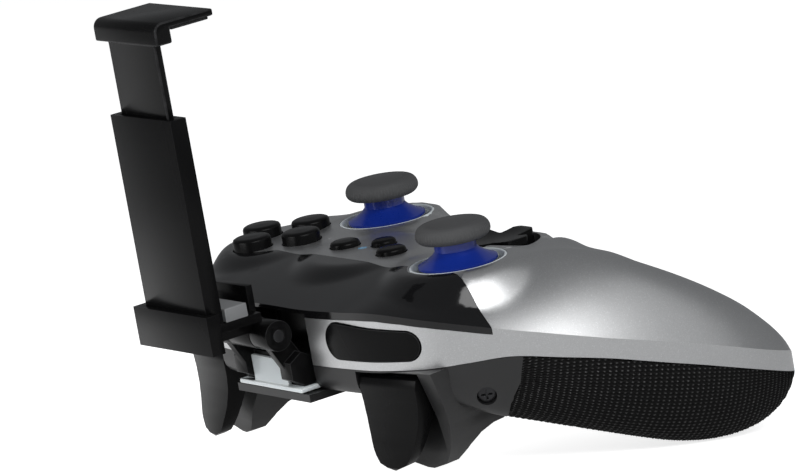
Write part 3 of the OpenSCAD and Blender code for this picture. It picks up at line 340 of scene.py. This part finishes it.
def make_finishes(c):
    """Every finish of the controller, by the record's slot names."""
    silver_finish(c.silver)
    grip_finish(c.rubber)
    # The satin black's edges are six times lighter: a painted edge highlight as well as wear
    moulded_finish("black_satin", c.satin, 0.25, 0.00032, 0.000004, edge=6.0, spread=0.02, shade=0.94,
                   specular=0.08)
    moulded_finish("black_matte", c.matte, 0.44, 0.0003, 0.000008, edge=3.0, spread=0.03, shade=0.94)
    moulded_finish("black_gloss", c.gloss, 0.1, 0.0009, 0.0000006, edge=3.0, spread=0.03, specular=0.4)
    moulded_finish("bright_trim", c.trim, 0.3, 0.0006, 0.000002, edge=1.2, metallic=0.1, spread=0.06,
                   shade=0.96)
    moulded_finish("blue_plastic", c.blue, 0.3, 0.0005, 0.000004, edge=1.8, coat=0.15, spread=0.06)
    moulded_finish("stick_rubber", c.cap, 0.68, 0.0003, 0.00002, edge=1.3, spread=0.08, specular=0.3)
    moulded_finish("light_pipe", c.light, 0.16, 0.0008, 0.000001, coat=0.5, spread=0.04)
    moulded_finish("dark_steel", (0.035, 0.035, 0.037), 0.36, 0.0002, 0.000004, metallic=0.8, edge=2.0)
    moulded_finish("steel", (0.42, 0.42, 0.43), 0.32, 0.0002, 0.000004, metallic=1.0, edge=1.4)
    moulded_finish("module_plastic", (0.05, 0.053, 0.057), 0.5, 0.0003, 0.00001, edge=2.0)
    moulded_finish("membrane", (0.24, 0.24, 0.25), 0.7, 0.0003, 0.00001)
    moulded_finish("circuit_board", (0.008, 0.09, 0.03), 0.38, 0.0006, 0.000005, coat=0.3)
    moulded_finish("battery_wrap", (0.03, 0.1, 0.24), 0.42, 0.0008, 0.000006, coat=0.2)
    moulded_finish("pad_grey", c.pad, 0.6, 0.0003, 0.000015, edge=1.2, shade=0.94)
    moulded_finish("pad_black", scaled(c.satin, 1.6), 0.7, 0.0003, 0.00002, edge=2.0)
    for node, obj in frame["nodes"].items():
        obj.data.materials.clear()
        obj.data.materials.append(Finishes.made[SLOT_OF[node]])


# ---------------------------------------------------------------- meshes

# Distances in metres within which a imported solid's points are one, and its edges are none
SAME_POINT, NO_EDGE = 2e-6, 1e-6
# Degrees within which faces lie in one plane, and beyond which an edge is rounded
ONE_PLANE, CORNER = 0.4, 40
# Millimetres within which a point stands at an end of its piece
AT_END = 0.1


def solid_copy(node):
    """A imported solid's mesh as a bmesh, its doubles merged and its slivers dissolved."""
    bm = bmesh.new()
    bm.from_mesh(frame["nodes"][node].data)
    bmesh.ops.remove_doubles(bm, verts=bm.verts, dist=SAME_POINT)
    bmesh.ops.dissolve_degenerate(bm, edges=bm.edges, dist=NO_EDGE)
    return bm


def join_flats(bm):
    """Joins triangles that lie in one plane."""
    bmesh.ops.dissolve_limit(bm, angle_limit=math.radians(ONE_PLANE), verts=bm.verts, edges=bm.edges,
                             delimit={"NORMAL"})


def round_edges(bm, width, segments):
    """Rounds the edges of the corners, and marks them for wear and for a painted edge highlight."""
    worn_and_lit = bm.faces.layers.float.new("worn_and_lit_edge")
    edges = [e for e in bm.edges if len(e.link_faces) == 2 and e.calc_face_angle(0) > math.radians(CORNER)]
    made = bmesh.ops.bevel(bm, geom=edges, offset=width, offset_type="OFFSET", affect="EDGES",
                           segments=segments, profile=0.5, material=-1, clamp_overlap=True)
    # These faces take the lighter edge colour: wear and a painted edge highlight
    for face in made["faces"]:
        face[worn_and_lit] = 1.0


def turn_corner(bm, up, radius):
    """Turns the front edge of a holder piece, at its top where up is 1 and at its foot where it is -1."""
    places = {vert: STAND.inverted() @ vert.co for vert in bm.verts}
    front = max(place.y for place in places.values()) - AT_END
    end = max(up * place.z for place in places.values()) - AT_END
    edges = [e for e in bm.edges if all(places[v].y > front and up * places[v].z > end for v in e.verts)]
    bmesh.ops.bevel(bm, geom=edges, offset=radius, offset_type="OFFSET", affect="EDGES", segments=6,
                    profile=0.5, material=-1, clamp_overlap=True)


def shown(bm, node, smooth=35.0):
    """Makes a piece from a bmesh in the row frame. It stands for its node and rides on its body.
    Edges sharper than smooth degrees stay sharp, and so do those that the layer hard marks."""
    mesh = bpy.data.meshes.new(node + "_finished")
    hard = bm.edges.layers.int.get("hard")
    bm.edges.index_update()
    kept = [edge.index for edge in bm.edges if edge[hard]] if hard else []
    bm.to_mesh(mesh)
    bm.free()
    if "custom_normal" in mesh.attributes:
        mesh.attributes.remove(mesh.attributes["custom_normal"])
    mesh.shade_smooth()
    mesh.set_sharp_from_angle(angle=math.radians(smooth))
    for index in kept:
        mesh.edges[index].use_edge_sharp = True
    mesh.materials.append(Finishes.made[SLOT_OF[node]])
    piece = bpy.data.objects.new(node + "_finished", mesh)
    bpy.context.scene.collection.objects.link(piece)
    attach(piece, BODY_OF[node])
    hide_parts(node)


def rounded_piece(node, width, segments=2, turned=None):
    """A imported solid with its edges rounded; turned gives turn_corner's end and radius."""
    bm = solid_copy(node)
    join_flats(bm)
    if turned:
        turn_corner(bm, *turned)
    round_edges(bm, width, segments)
    shown(bm, node)


# ---------------------------------------------------------------- the body's skin

# Body stations from the centre line to the tip of a handle, as the solids have them: front or outer
# edge x, y, crease z, parting z, back or inner edge x, y, crease z, parting z, start of the crown as a
# share of the way across and its z, end of the crown and its z, keel as a share and its z, squareness
# of the underside, roundness of the front slope. Millimetres in the control face's frame.
STATIONS = (
    (0, 31, -6.6, -20.8, 0, -40, -12, -19, 0.37, -0.6, 0.76, -1.9, 0.5, -29.5, 5, 1.3),
    (14, 31, -6.6, -20.8, 10, -40, -12, -19, 0.37, -0.6, 0.76, -1.9, 0.5, -29.5, 5, 1.3),
    (28, 29.8, -6.3, -20.8, 20, -40, -12.2, -19.2, 0.37, -0.7, 0.76, -2, 0.5, -29.6, 5, 1.35),
    (40, 27.5, -6.2, -20.8, 28, -40.2, -12.6, -19.6, 0.38, -1, 0.75, -2.2, 0.48, -30.2, 4.5, 1.45),
    (52, 21.4, -8.4, -20.8, 33.5, -40.8, -13.6, -20.2, 0.4, -1.4, 0.72, -2.6, 0.42, -32.5, 4, 1.6),
    (59, 14, -11, -20.6, 36.5, -41.5, -15, -21.4, 0.45, -1.2, 0.74, -1.4, 0.36, -37.6, 3.2, 1.8),
    (64.5, 5, -14.1, -20.9, 39, -42.5, -17, -23.2, 0.5, -1.3, 0.7, -1.9, 0.36, -42, 2.7, 1.9),
    (69.5, -6, -17.8, -23.7, 41.5, -44.2, -19.5, -25.6, 0.52, -2.8, 0.62, -3.8, 0.4, -46.8, 2.4, 2),
    (73.5, -18, -21.8, -27, 44, -46.5, -22.5, -28.6, 0.52, -5.4, 0.58, -6.1, 0.44, -51.4, 2.2, 2),
    (76, -30, -25.6, -31, 46.8, -50, -25.8, -32, 0.5, -9.7, 0.54, -10.3, 0.48, -55.2, 2.1, 2),
    (77, -42, -29.6, -35, 49.6, -55, -29.3, -35.4, 0.5, -14.9, 0.53, -15.4, 0.5, -57.5, 2, 2),
    (76.5, -53, -33.5, -38.9, 52.4, -60.5, -33, -39, 0.5, -20.5, 0.52, -20.8, 0.5, -58.1, 2, 2),
    (74.6, -62.5, -37, -42.3, 55.4, -66.2, -36.6, -42.4, 0.5, -26.4, 0.52, -26.6, 0.5, -57.2, 2, 2),
    (71.8, -70, -39.6, -45, 59, -71.5, -39.4, -45, 0.5, -32.8, 0.52, -32.9, 0.5, -54.4, 2, 2),
    (69.2, -74.2, -41, -46.4, 62, -74.6, -41, -46.4, 0.5, -37.4, 0.52, -37.5, 0.5, -50.8, 2, 2),
    (67, -76.3, -42, -47, 64.4, -76.4, -42, -47, 0.5, -41, 0.52, -41.1, 0.5, -48, 2, 2))
# Flat lands on the crown: x, y, z, flat radius, radius where the crown takes over
LANDS = ((0, 0, -0.4, 14, 21.5), (40, 0, -0.8, 14.2, 21.7), (-26, -21.8, -2.6, 12.1, 17.1),
         (-40, 0, 0, 13.6, 21.1), (25.7, -23.5, 0, 13.6, 21.1))
RINGS_PER_STATION = 8
# The line that a grip's rows follow, and the radius at which their pitch is measured
GRIP_TOP, GRIP_TIP, GRIP_RADIUS = (58, 4, -27), (66, -74, -46), 0.017
# Points along each part of an arc across the body
BAND_POINTS, SLOPE_POINTS, CROWN_POINTS, BACK_POINTS, KEEL_POINTS = 4, 20, 10, 16, 30
# Faces fold at a crease from this angle on, and face one way up to this one
CREASE_FOLD, SAME_WAY = math.cos(math.radians(14)), math.cos(math.radians(45))
# Metres: how far a point may lie from the crease or the skin that it is laid on, and edges too short to keep
CREASE_REACH, SKIN_REACH, SLIVER = 0.0009, 0.0018, 0.00006
# Square metres: crease lines that start farther off aren't searched
CREASE_SEARCH = 4e-5
MOST_HALVINGS = 5
# Solids that are laid on a skin: which one, their catch as a multiple, and how far their faces agree with it
SKINNED = (("top_shell", "top", 1, 0.9), ("front_panel", "top", 2, 0.5), ("bottom_shell", "keel", 1, 0.75))


def mix(a, b, u):
    """The value at a share of the way from a to b."""
    return a + (b - a) * u


def ease(u):
    """A share from 0 to 1 with a soft start and end."""
    v = min(1.0, max(0.0, u))
    return v * v * (3 - 2 * v)


def control_station(k):
    """A drawn station, its mirror image past the centre line, or one run on past the tip."""
    if k < 0:
        return [-v if n in (0, 4) else v for n, v in enumerate(STATIONS[-k])]
    if k < len(STATIONS):
        return STATIONS[k]
    return [2 * a - b for a, b in zip(STATIONS[-1], STATIONS[-2])]


def station(at):
    """The station at a distance from the centre line counted in drawn stations."""
    k = min(int(at), len(STATIONS) - 1)
    u = at - k
    a, b, c, d = (control_station(k + n) for n in (-1, 0, 1, 2))
    return [0.5 * (2 * q + (r - p) * u + (2 * p - 5 * q + 4 * r - s) * u * u
                   + (3 * q - p - 3 * r + s) * u ** 3) for p, q, r, s in zip(a, b, c, d)]


def landed(p):
    """A point of the crown, drawn to the flat lands round the controls."""
    for x, y, z, flat, run in LANDS:
        weight = 1 - ease((math.hypot(p[0] - x, p[1] - y) - flat) / (run - flat))
        p = (p[0], p[1], mix(p[2], z, weight))
    return p


def top_arc(s, side):
    """Points across the top at a station, from parting face to parting face."""
    def across(t, z):
        return (side * mix(s[0], s[4], t), mix(s[1], s[5], t), z)
    arc = [across(0, mix(s[3], s[2], n / BAND_POINTS)) for n in range(BAND_POINTS + 1)]
    for n in range(1, SLOPE_POINTS + 1):
        v = n / SLOPE_POINTS
        arc.append(landed(across(s[8] * v, mix(s[2], s[9], 1 - (1 - v) ** s[15]))))
    for n in range(1, CROWN_POINTS + 1):
        v = n / CROWN_POINTS
        arc.append(landed(across(mix(s[8], s[10], v), mix(s[9], s[11], ease(v)))))
    for n in range(1, BACK_POINTS):
        v = n / BACK_POINTS
        arc.append(landed(across(mix(s[10], 1, v), mix(s[11], s[6], v * v))))
    return arc + [across(1, mix(s[6], s[7], n / BAND_POINTS)) for n in range(BAND_POINTS + 1)]


def keel_arc(s, side):
    """Points across the underside at a station, from parting face to parting face."""
    arc = []
    for n in range(2 * KEEL_POINTS + 1):
        turn = math.pi / 2 * (1 - abs(n - KEEL_POINTS) / KEEL_POINTS)
        edge, z = (1, s[7]) if n <= KEEL_POINTS else (0, s[3])
        share_out = max(0.0, math.cos(turn)) ** (2 / s[14])
        share_down = max(0.0, math.sin(turn)) ** (2 / s[14])
        t = mix(s[12], edge, share_out)
        arc.append((side * mix(s[0], s[4], t), mix(s[1], s[5], t), mix(z, s[13], share_down)))
    return arc


class Skin:
    """The fine skin that an arc function draws, in the row frame: a search tree and its crease lines.
    Its faces point up where outward is 1 and down where it is -1."""
    made = {}

    def __init__(self, arc_at, outward, creases):
        reach = (len(STATIONS) - 1) * RINGS_PER_STATION
        arcs = [[STAND @ Vector(p)
                 for p in arc_at(station(abs(i) / RINGS_PER_STATION), 1 if i >= 0 else -1)]
                for i in range(-reach, reach + 1)]
        self.creases = [(arcs[i][n], arcs[i + 1][n]) for n in creases for i in range(len(arcs) - 1)]
        bm = bmesh.new()
        bmesh.ops.create_grid(bm, x_segments=len(arcs) - 1, y_segments=len(arcs[0]) - 1, size=1.0)
        for index, vert in enumerate(bm.verts):
            vert.co = arcs[index % len(arcs)][index // len(arcs)]
        bm.normal_update()
        if outward * sum(face.normal.z for face in bm.faces) < 0:
            bmesh.ops.reverse_faces(bm, faces=bm.faces)
        self.tree = BVHTree.FromBMesh(bm)
        bm.free()

    @classmethod
    def of(cls, half):
        """The skin of the top or of the keel, made once."""
        if half not in cls.made:
            cls.made[half] = (cls(top_arc, 1, (BAND_POINTS, -BAND_POINTS - 1)) if half == "top"
                              else cls(keel_arc, -1, ()))
        return cls.made[half]

    def holds(self, face, catch, facing):
        """Whether a solid's face lies on the skin and faces its way."""
        _, normal, _, far = self.tree.find_nearest(face.calc_center_median())
        return (far < catch and normal.dot(face.normal) > facing
                and all(self.tree.find_nearest(v.co)[3] < catch for v in face.verts))

    def on_crease(self, point):
        """The nearest point of the crease lines, or None where none is near."""
        best, least = None, math.inf
        for a, b in self.creases:
            if (a - point).length_squared > CREASE_SEARCH:
                continue
            near, along = intersect_point_line(point, a, b)
            near = a if along < 0 else b if along > 1 else near
            if (near - point).length_squared < least:
                best, least = near, (near - point).length_squared
        return best

    def foot(self, point, normal):
        """Where a point of a face comes to lie on the skin: the nearest place that faces the same way."""
        place, faces_to, _, _ = self.tree.find_nearest(point)
        if faces_to.dot(normal) < SAME_WAY:
            place = self.tree.ray_cast(point - normal * SKIN_REACH, normal, 2 * SKIN_REACH)[0]
        return place

    def lay(self, bm, catch, facing, step):
        """Finds a solid's faces on the skin, divides them finely and lays them on it."""
        bmesh.ops.triangulate(bm, faces=bm.faces)
        skin = bm.faces.layers.int.new("skin")
        for face in bm.faces:
            face[skin] = int(self.holds(face, catch, facing))
        for _ in range(MOST_HALVINGS):
            long_edges = [e for e in bm.edges
                          if e.calc_length() > step and any(f[skin] for f in e.link_faces)]
            if not long_edges:
                break
            bmesh.ops.subdivide_edges(bm, edges=long_edges, cuts=1, use_grid_fill=False)
            bmesh.ops.triangulate(bm, faces=[f for f in bm.faces if len(f.verts) > 3])
        bm.normal_update()
        places, creased = {}, set()
        for vert in bm.verts:
            faces = [f for f in vert.link_faces if f[skin]]
            if not faces:
                continue
            folded = any(f.normal.dot(faces[0].normal) < CREASE_FOLD for f in faces)
            place = self.on_crease(vert.co) if folded and self.creases else None
            if place is None or (place - vert.co).length > CREASE_REACH:
                place = self.foot(vert.co, faces[0].normal)
            else:
                creased.add(vert)
            if place is not None and (place - vert.co).length < SKIN_REACH:
                places[vert] = place
        for vert, place in places.items():
            vert.co = [min(max(v, low), high) for v, low, high in zip(place, *CAD_BOX)]
        bmesh.ops.dissolve_degenerate(bm, dist=SLIVER, edges=bm.edges[:])
        bm.normal_update()
        hard = bm.edges.layers.int.new("hard")
        for edge in bm.edges:
            sides = edge.link_faces
            rim = len({f[skin] for f in sides}) > 1
            crease = len(sides) == 2 and all(v in creased for v in edge.verts)
            edge[hard] = rim or crease and sides[0].normal.dot(sides[1].normal) < CREASE_FOLD


def skinned_copy(node, half, catch, facing, step):
    """A moulded solid's bmesh, its outer faces laid on the fine skin."""
    bm = solid_copy(node)
    Skin.of(half).lay(bm, catch, facing, step)
    return bm


# ---------------------------------------------------------------- operators

class PieceOperator:
    """What the operators share: the settings of the scene."""
    bl_options = {"REGISTER", "UNDO"}

    @property
    def sizes(self):
        return bpy.context.scene.controller_sizes

    @property
    def colours(self):
        return bpy.context.scene.controller_colours


class CONTROLLER_OT_finishes(PieceOperator, bpy.types.Operator):
    """Make the finishes and give each solid its own"""
    bl_idname = "controller.finishes"
    bl_label = "Finishes"

    def execute(self, context):
        make_finishes(self.colours)
        return {"FINISHED"}


class CONTROLLER_OT_shells(PieceOperator, bpy.types.Operator):
    """Lay the top shell, bottom shell and front panel on their fine skins"""
    bl_idname = "controller.shells"
    bl_label = "Shells and panel"

    def execute(self, context):
        for node, half, times, facing in SKINNED:
            bm = skinned_copy(node, half, times * self.sizes.skin_catch, facing, self.sizes.skin_step)
            shown(bm, node, 30.0)
        return {"FINISHED"}


class CONTROLLER_OT_grips(PieceOperator, bpy.types.Operator):
    """Lay the rubber grips on the handles, and cut their lattice of small pyramids"""
    bl_idname = "controller.grips"
    bl_label = "Grips"

    def execute(self, context):
        for side, node in ((-1, "left_grip"), (1, "right_grip")):
            bm = skinned_copy(node, "keel", 2 * self.sizes.skin_catch, 0.5, 2 * self.sizes.skin_step)
            self.relief(bm, side)
            shown(bm, node, 20.0)
        return {"FINISHED"}

    def relief(self, bm, side):
        """Cuts the skin along and round the handle at each half pitch, and sinks all but the crests."""
        along, round_, depth = self.sizes.weave_along, self.sizes.weave_round, self.sizes.weave_depth
        start, tip = (STAND @ Vector((side * x, y, z)) for x, y, z in (GRIP_TOP, GRIP_TIP))
        axis = (tip - start).normalized()
        up = (Vector((0, 0, 1)) - axis * axis.z).normalized()
        out = axis.cross(up) * side
        skin = bm.faces.layers.int["skin"]

        def outer():
            faces = [f for f in bm.faces if f[skin]]
            return (faces + list(dict.fromkeys(e for f in faces for e in f.edges))
                    + list(dict.fromkeys(v for f in faces for v in f.verts)))
        reach = [(v.co - start).dot(axis) for v in bm.verts]
        cuts = [(start + axis * k * along / 2, axis)
                for k in range(math.ceil(2 * min(reach) / along), math.floor(2 * max(reach) / along) + 1)]
        turn = round_ / GRIP_RADIUS / 2
        quarter = math.floor(math.pi / 2 / turn)
        cuts += [(start, out * math.cos(k * turn) + up * math.sin(k * turn))
                 for k in range(-quarter, quarter + 1)]
        for place, normal in cuts:
            bmesh.ops.bisect_plane(bm, geom=outer(), dist=NO_EDGE, plane_co=place, plane_no=normal)
        bm.normal_update()
        crest = bm.verts.layers.float.new("crest")
        sunk = []
        for vert in bm.verts:
            if not all(f[skin] for f in vert.link_faces):
                continue
            arm = vert.co - start
            u = arm.dot(axis) / along
            v = math.atan2(arm.dot(out), -arm.dot(up)) / turn / 2
            height = 1 - 2 * max(abs(u - math.floor(u) - 0.5), abs(v - math.floor(v) - 0.5))
            vert[crest] = height
            sunk.append((vert, vert.normal * depth * (height - 1)))
        for vert, move in sunk:
            vert.co += move
        bm.normal_update()


# Where the sticks stand on the control face, in millimetres
STICKS = (("left", (-40, 0, 0)), ("right", (25.7, -23.5, 0)))
# A stick cap in millimetres: its radius, the heights of its base and top, its rim's width, the rim's height
# above the base where it is widest, the degrees that it turns under, and the bore for the stem
CAP_RADIUS, CAP_BASE, CAP_TOP, CAP_RIM, CAP_LOW, CAP_TURN = 9.5, 5.75, 10.0, 2.3, 1.7, 60
BORE_RADIUS, BORE_TOP = 5.35, 6.8
# The dish of a cap: distance in from its radius, and down from its top
CAP_DISH = ((2.6, 0.03), (2.8, 0.1), (3.05, 0.25), (3.3, 0.4), (3.7, 0.58), (4.2, 0.7), (6.5, 0.95),
            (CAP_RADIUS, 1.1))
# The ribs of a cap: how far in from its radius they start, and how far they keep off its base and top
RIB_IN, RIB_OFF_BASE, RIB_OFF_TOP = 1.0, 0.3, 0.9
# Millimetres within which the spun points of a cap's axis are one
ONE_AXIS = 1e-4


class CONTROLLER_OT_sticks(PieceOperator, bpy.types.Operator):
    """Copy the stick rings and stems with smooth shading, and spin the ribbed caps"""
    bl_idname = "controller.sticks"
    bl_label = "Thumb sticks"

    def execute(self, context):
        for hand, spot in STICKS:
            shown(solid_copy(hand + "_stick_ring"), hand + "_stick_ring", 50.0)
            shown(solid_copy(hand + "_stick_stem"), hand + "_stick_stem", 30.0)
            self.cap(hand + "_stick_cap", Vector(spot))
        return {"FINISHED"}

    def cap(self, node, spot):
        """A rubber cap: concave top, rolled rim, ribbed side, hollow for the stem."""
        radius, base, rim, low, turn, top = CAP_RADIUS, CAP_BASE, CAP_RIM, CAP_LOW, CAP_TURN, CAP_TOP
        profile = [(0, BORE_TOP), (BORE_RADIUS, BORE_TOP), (BORE_RADIUS, base)]
        for a in range(-turn, 91, 6):
            drop = low / math.sin(math.radians(turn)) if a < 0 else top - base - low
            profile.append((radius - rim + rim * math.cos(math.radians(a)),
                            base + low + drop * math.sin(math.radians(a))))
        profile += [(radius - inward, top - down) for inward, down in CAP_DISH]
        bm = bmesh.new()
        line = [bm.verts.new((x, 0, z)) for x, z in profile]
        edges = [bm.edges.new(pair) for pair in zip(line, line[1:])]
        steps = 2 * self.sizes.rib_count
        bmesh.ops.spin(bm, geom=line + edges, cent=(0, 0, 0), axis=(0, 0, 1), dvec=(0, 0, 0),
                       angle=2 * math.pi, steps=steps, use_merge=True, use_duplicate=False)
        bmesh.ops.remove_doubles(bm, verts=bm.verts, dist=ONE_AXIS)
        bmesh.ops.recalc_face_normals(bm, faces=bm.faces)
        depth = self.sizes.rib_depth / MM
        for vert in bm.verts:
            far = math.hypot(vert.co.x, vert.co.y)
            if far > radius - RIB_IN and base + RIB_OFF_BASE < vert.co.z < top - RIB_OFF_TOP:
                column = round(math.atan2(vert.co.y, vert.co.x) / (2 * math.pi) * steps)
                if column % 2:
                    vert.co.x *= (far - depth) / far
                    vert.co.y *= (far - depth) / far
        bmesh.ops.translate(bm, verts=bm.verts, vec=spot)
        bm.transform(STAND)
        shown(bm, node, 40.0)


class CONTROLLER_OT_controls(PieceOperator, bpy.types.Operator):
    """Round the direction pad, and copy the buttons and the status light with smooth shading"""
    bl_idname = "controller.controls"
    bl_label = "Pad and buttons"

    def execute(self, context):
        rounded_piece("dpad", self.sizes.pad_edge, 3)
        for name in ("north", "south", "east", "west", "select", "start", "home"):
            shown(solid_copy(name + "_button"), name + "_button", 40.0)
        shown(solid_copy("status_light"), "status_light", 40.0)
        return {"FINISHED"}


class CONTROLLER_OT_shoulders(PieceOperator, bpy.types.Operator):
    """Round the bumpers and the triggers"""
    bl_idname = "controller.shoulders"
    bl_label = "Bumpers and triggers"

    def execute(self, context):
        for hand in ("left", "right"):
            rounded_piece(hand + "_bumper", self.sizes.shoulder_edge, 3)
            rounded_piece(hand + "_trigger", self.sizes.shoulder_edge, 3)
        return {"FINISHED"}


class CONTROLLER_OT_holder(PieceOperator, bpy.types.Operator):
    """Round the hinge, the clamp holder, its pads and the pocket trim"""
    bl_idname = "controller.holder"
    bl_label = "Hinge and holder"

    def execute(self, context):
        for node, end in (("holder_foot", -1), ("holder_sleeve", 0), ("holder_bar", 1),
                          ("hinge_bracket", 0)):
            turned = (end, self.sizes.jaw_turn) if end else None
            rounded_piece(node, self.sizes.holder_edge, turned=turned)
        for node in ("lower_jaw_pad", "upper_jaw_pad", "back_pad", "hinge_pocket_trim",
                     "hinge_pocket_liner"):
            rounded_piece(node, self.sizes.trim_edge)
        for node in ("knuckle_rings", "hinge_pin", "holder_screws", "case_screws"):
            rounded_piece(node, self.sizes.knurl_edge)
        return {"FINISHED"}


# Lamps: name, place, width, height, watts. Metres; all of them point at AIM.
LAMPS = (("main", (-1.0, 0.2, 0.8), 0.9, 0.5, 8.0), ("fill", (-0.8, -0.65, 0.78), 1.0, 1.0, 1.4),
         ("low_front", (0.1, 1.3, 0.35), 0.9, 0.5, 7.0))
AIM = Vector((0, 0, 0.05))
SKY_COLOUR, SKY_STRENGTH = (0.95, 0.97, 1, 1), 0.2
FLOOR_REACH = 3.0
# The floor's glow: what the camera sees, and the bright patch that glossy pieces mirror as its place, the
# distances where it starts and ends to fade, and its strength there
CAMERA_GLOW = 0.65
PATCH_PLACE, PATCH_FADE, PATCH_GLOW = (0.09, 0.09, 0), (0.06, 0.2), (0.7, 0.12)
# The camera that was fitted to the photo: its place and its axes
CAMERA_PLACE = (-1.324958, 0.878838, 0.263143)
CAMERA_RIGHT, CAMERA_UP = Vector((-0.559017, -0.827236, -0.056395)), Vector((0.078009, -0.120186, 0.989682))
CAMERA_AHEAD = Vector((0.825478, -0.54885, -0.131718))
SENSOR_WIDTH = 36


class CONTROLLER_OT_stage(PieceOperator, bpy.types.Operator):
    """Set up the floor, the soft studio light and the camera"""
    bl_idname = "controller.stage"
    bl_label = "Studio"

    def execute(self, context):
        self.floor()
        self.lights()
        self.camera()
        context.scene.view_settings.view_transform = "Standard"
        return {"FINISHED"}

    def floor(self):
        """A pale floor that shows white to the camera and keeps its shadow."""
        bm = bmesh.new()
        bmesh.ops.create_grid(bm, x_segments=8, y_segments=8, size=FLOOR_REACH)
        mesh = bpy.data.meshes.new("studio_floor")
        bm.to_mesh(mesh)
        bm.free()
        floor = bpy.data.objects.new("studio_floor", mesh)
        bpy.context.scene.collection.objects.link(floor)
        material = bpy.data.materials.new("studio_floor")
        material.use_nodes = True
        tree = material.node_tree
        shader = tree.nodes["Principled BSDF"]
        shader.inputs["Base Color"].default_value = (*self.colours.floor, 1)
        shader.inputs["Roughness"].default_value = 0.9
        shader.inputs["Specular IOR Level"].default_value = 0.1
        rays = add(tree, "ShaderNodeLightPath")
        seen = math_node(tree, "MAXIMUM", rays.outputs["Is Camera Ray"], math_node(
            tree, "MAXIMUM", rays.outputs["Is Glossy Ray"], rays.outputs["Is Transmission Ray"]))
        shader.inputs["Emission Color"].default_value = (1, 1, 1, 1)
        away = add(tree, "ShaderNodeVectorMath", operation="DISTANCE")
        tree.links.new(add(tree, "ShaderNodeTexCoord").outputs["Object"], away.inputs[0])
        away.inputs[1].default_value = PATCH_PLACE
        sheen = remap(tree, away.outputs["Value"], *PATCH_FADE, *PATCH_GLOW)
        plain = math_node(tree, "MULTIPLY", rays.outputs["Is Camera Ray"], CAMERA_GLOW)
        glow = math_node(tree, "ADD", plain, math_node(tree, "MULTIPLY", seen, sheen))
        tree.links.new(glow, shader.inputs["Emission Strength"])
        mesh.materials.append(material)

    def lights(self):
        """Soft lamps and a dim sky."""
        for name, spot, wide, high, power in LAMPS:
            lamp = bpy.data.lights.new(name, "AREA")
            lamp.shape, lamp.size, lamp.size_y, lamp.energy = "RECTANGLE", wide, high, power
            obj = bpy.data.objects.new(name, lamp)
            obj.location = spot
            obj.rotation_mode = "QUATERNION"
            obj.rotation_quaternion = (AIM - Vector(spot)).to_track_quat("-Z", "Y")
            bpy.context.scene.collection.objects.link(obj)
        world = bpy.data.worlds.new("studio")
        world.use_nodes = True
        sky = world.node_tree.nodes["Background"]
        sky.inputs["Color"].default_value = SKY_COLOUR
        sky.inputs["Strength"].default_value = SKY_STRENGTH
        bpy.context.scene.world = world

    def camera(self):
        """The camera that took the photo."""
        data = bpy.data.cameras.new("camera")
        data.lens = self.sizes.lens
        data.sensor_width = SENSOR_WIDTH
        camera = bpy.data.objects.new("camera", data)
        turn = Matrix((CAMERA_RIGHT, CAMERA_UP, -CAMERA_AHEAD)).transposed()
        camera.matrix_world = Matrix.Translation(CAMERA_PLACE) @ turn.to_4x4()
        bpy.context.scene.collection.objects.link(camera)
        bpy.context.scene.camera = camera


class CONTROLLER_PT_pieces(bpy.types.Panel):
    """The controller's pieces and settings"""
    bl_idname = "CONTROLLER_PT_pieces"
    bl_label = "Controller"
    bl_space_type = "VIEW_3D"
    bl_region_type = "UI"
    bl_category = "Controller"

    def draw(self, context):
        for operator in OPERATORS:
            self.layout.operator(operator.bl_idname)
        for group in (context.scene.controller_sizes, context.scene.controller_colours):
            for name in group.__annotations__:
                self.layout.prop(group, name)


OPERATORS = (CONTROLLER_OT_finishes, CONTROLLER_OT_shells, CONTROLLER_OT_grips, CONTROLLER_OT_sticks,
             CONTROLLER_OT_controls, CONTROLLER_OT_shoulders, CONTROLLER_OT_holder, CONTROLLER_OT_stage)
CLASSES = (ControllerSizes, ControllerColours, *OPERATORS, CONTROLLER_PT_pieces)


def register():
    for cls in CLASSES:
        bpy.utils.register_class(cls)
    bpy.types.Scene.controller_sizes = bpy.props.PointerProperty(type=ControllerSizes)
    bpy.types.Scene.controller_colours = bpy.props.PointerProperty(type=ControllerColours)


def unregister():
    del bpy.types.Scene.controller_sizes
    del bpy.types.Scene.controller_colours
    for cls in reversed(CLASSES):
        bpy.utils.unregister_class(cls)


def main():
    register()
    for operator in OPERATORS:
        family, name = operator.bl_idname.split(".")
        getattr(getattr(bpy.ops, family), name)()


if __name__ == "__main__":
    main()
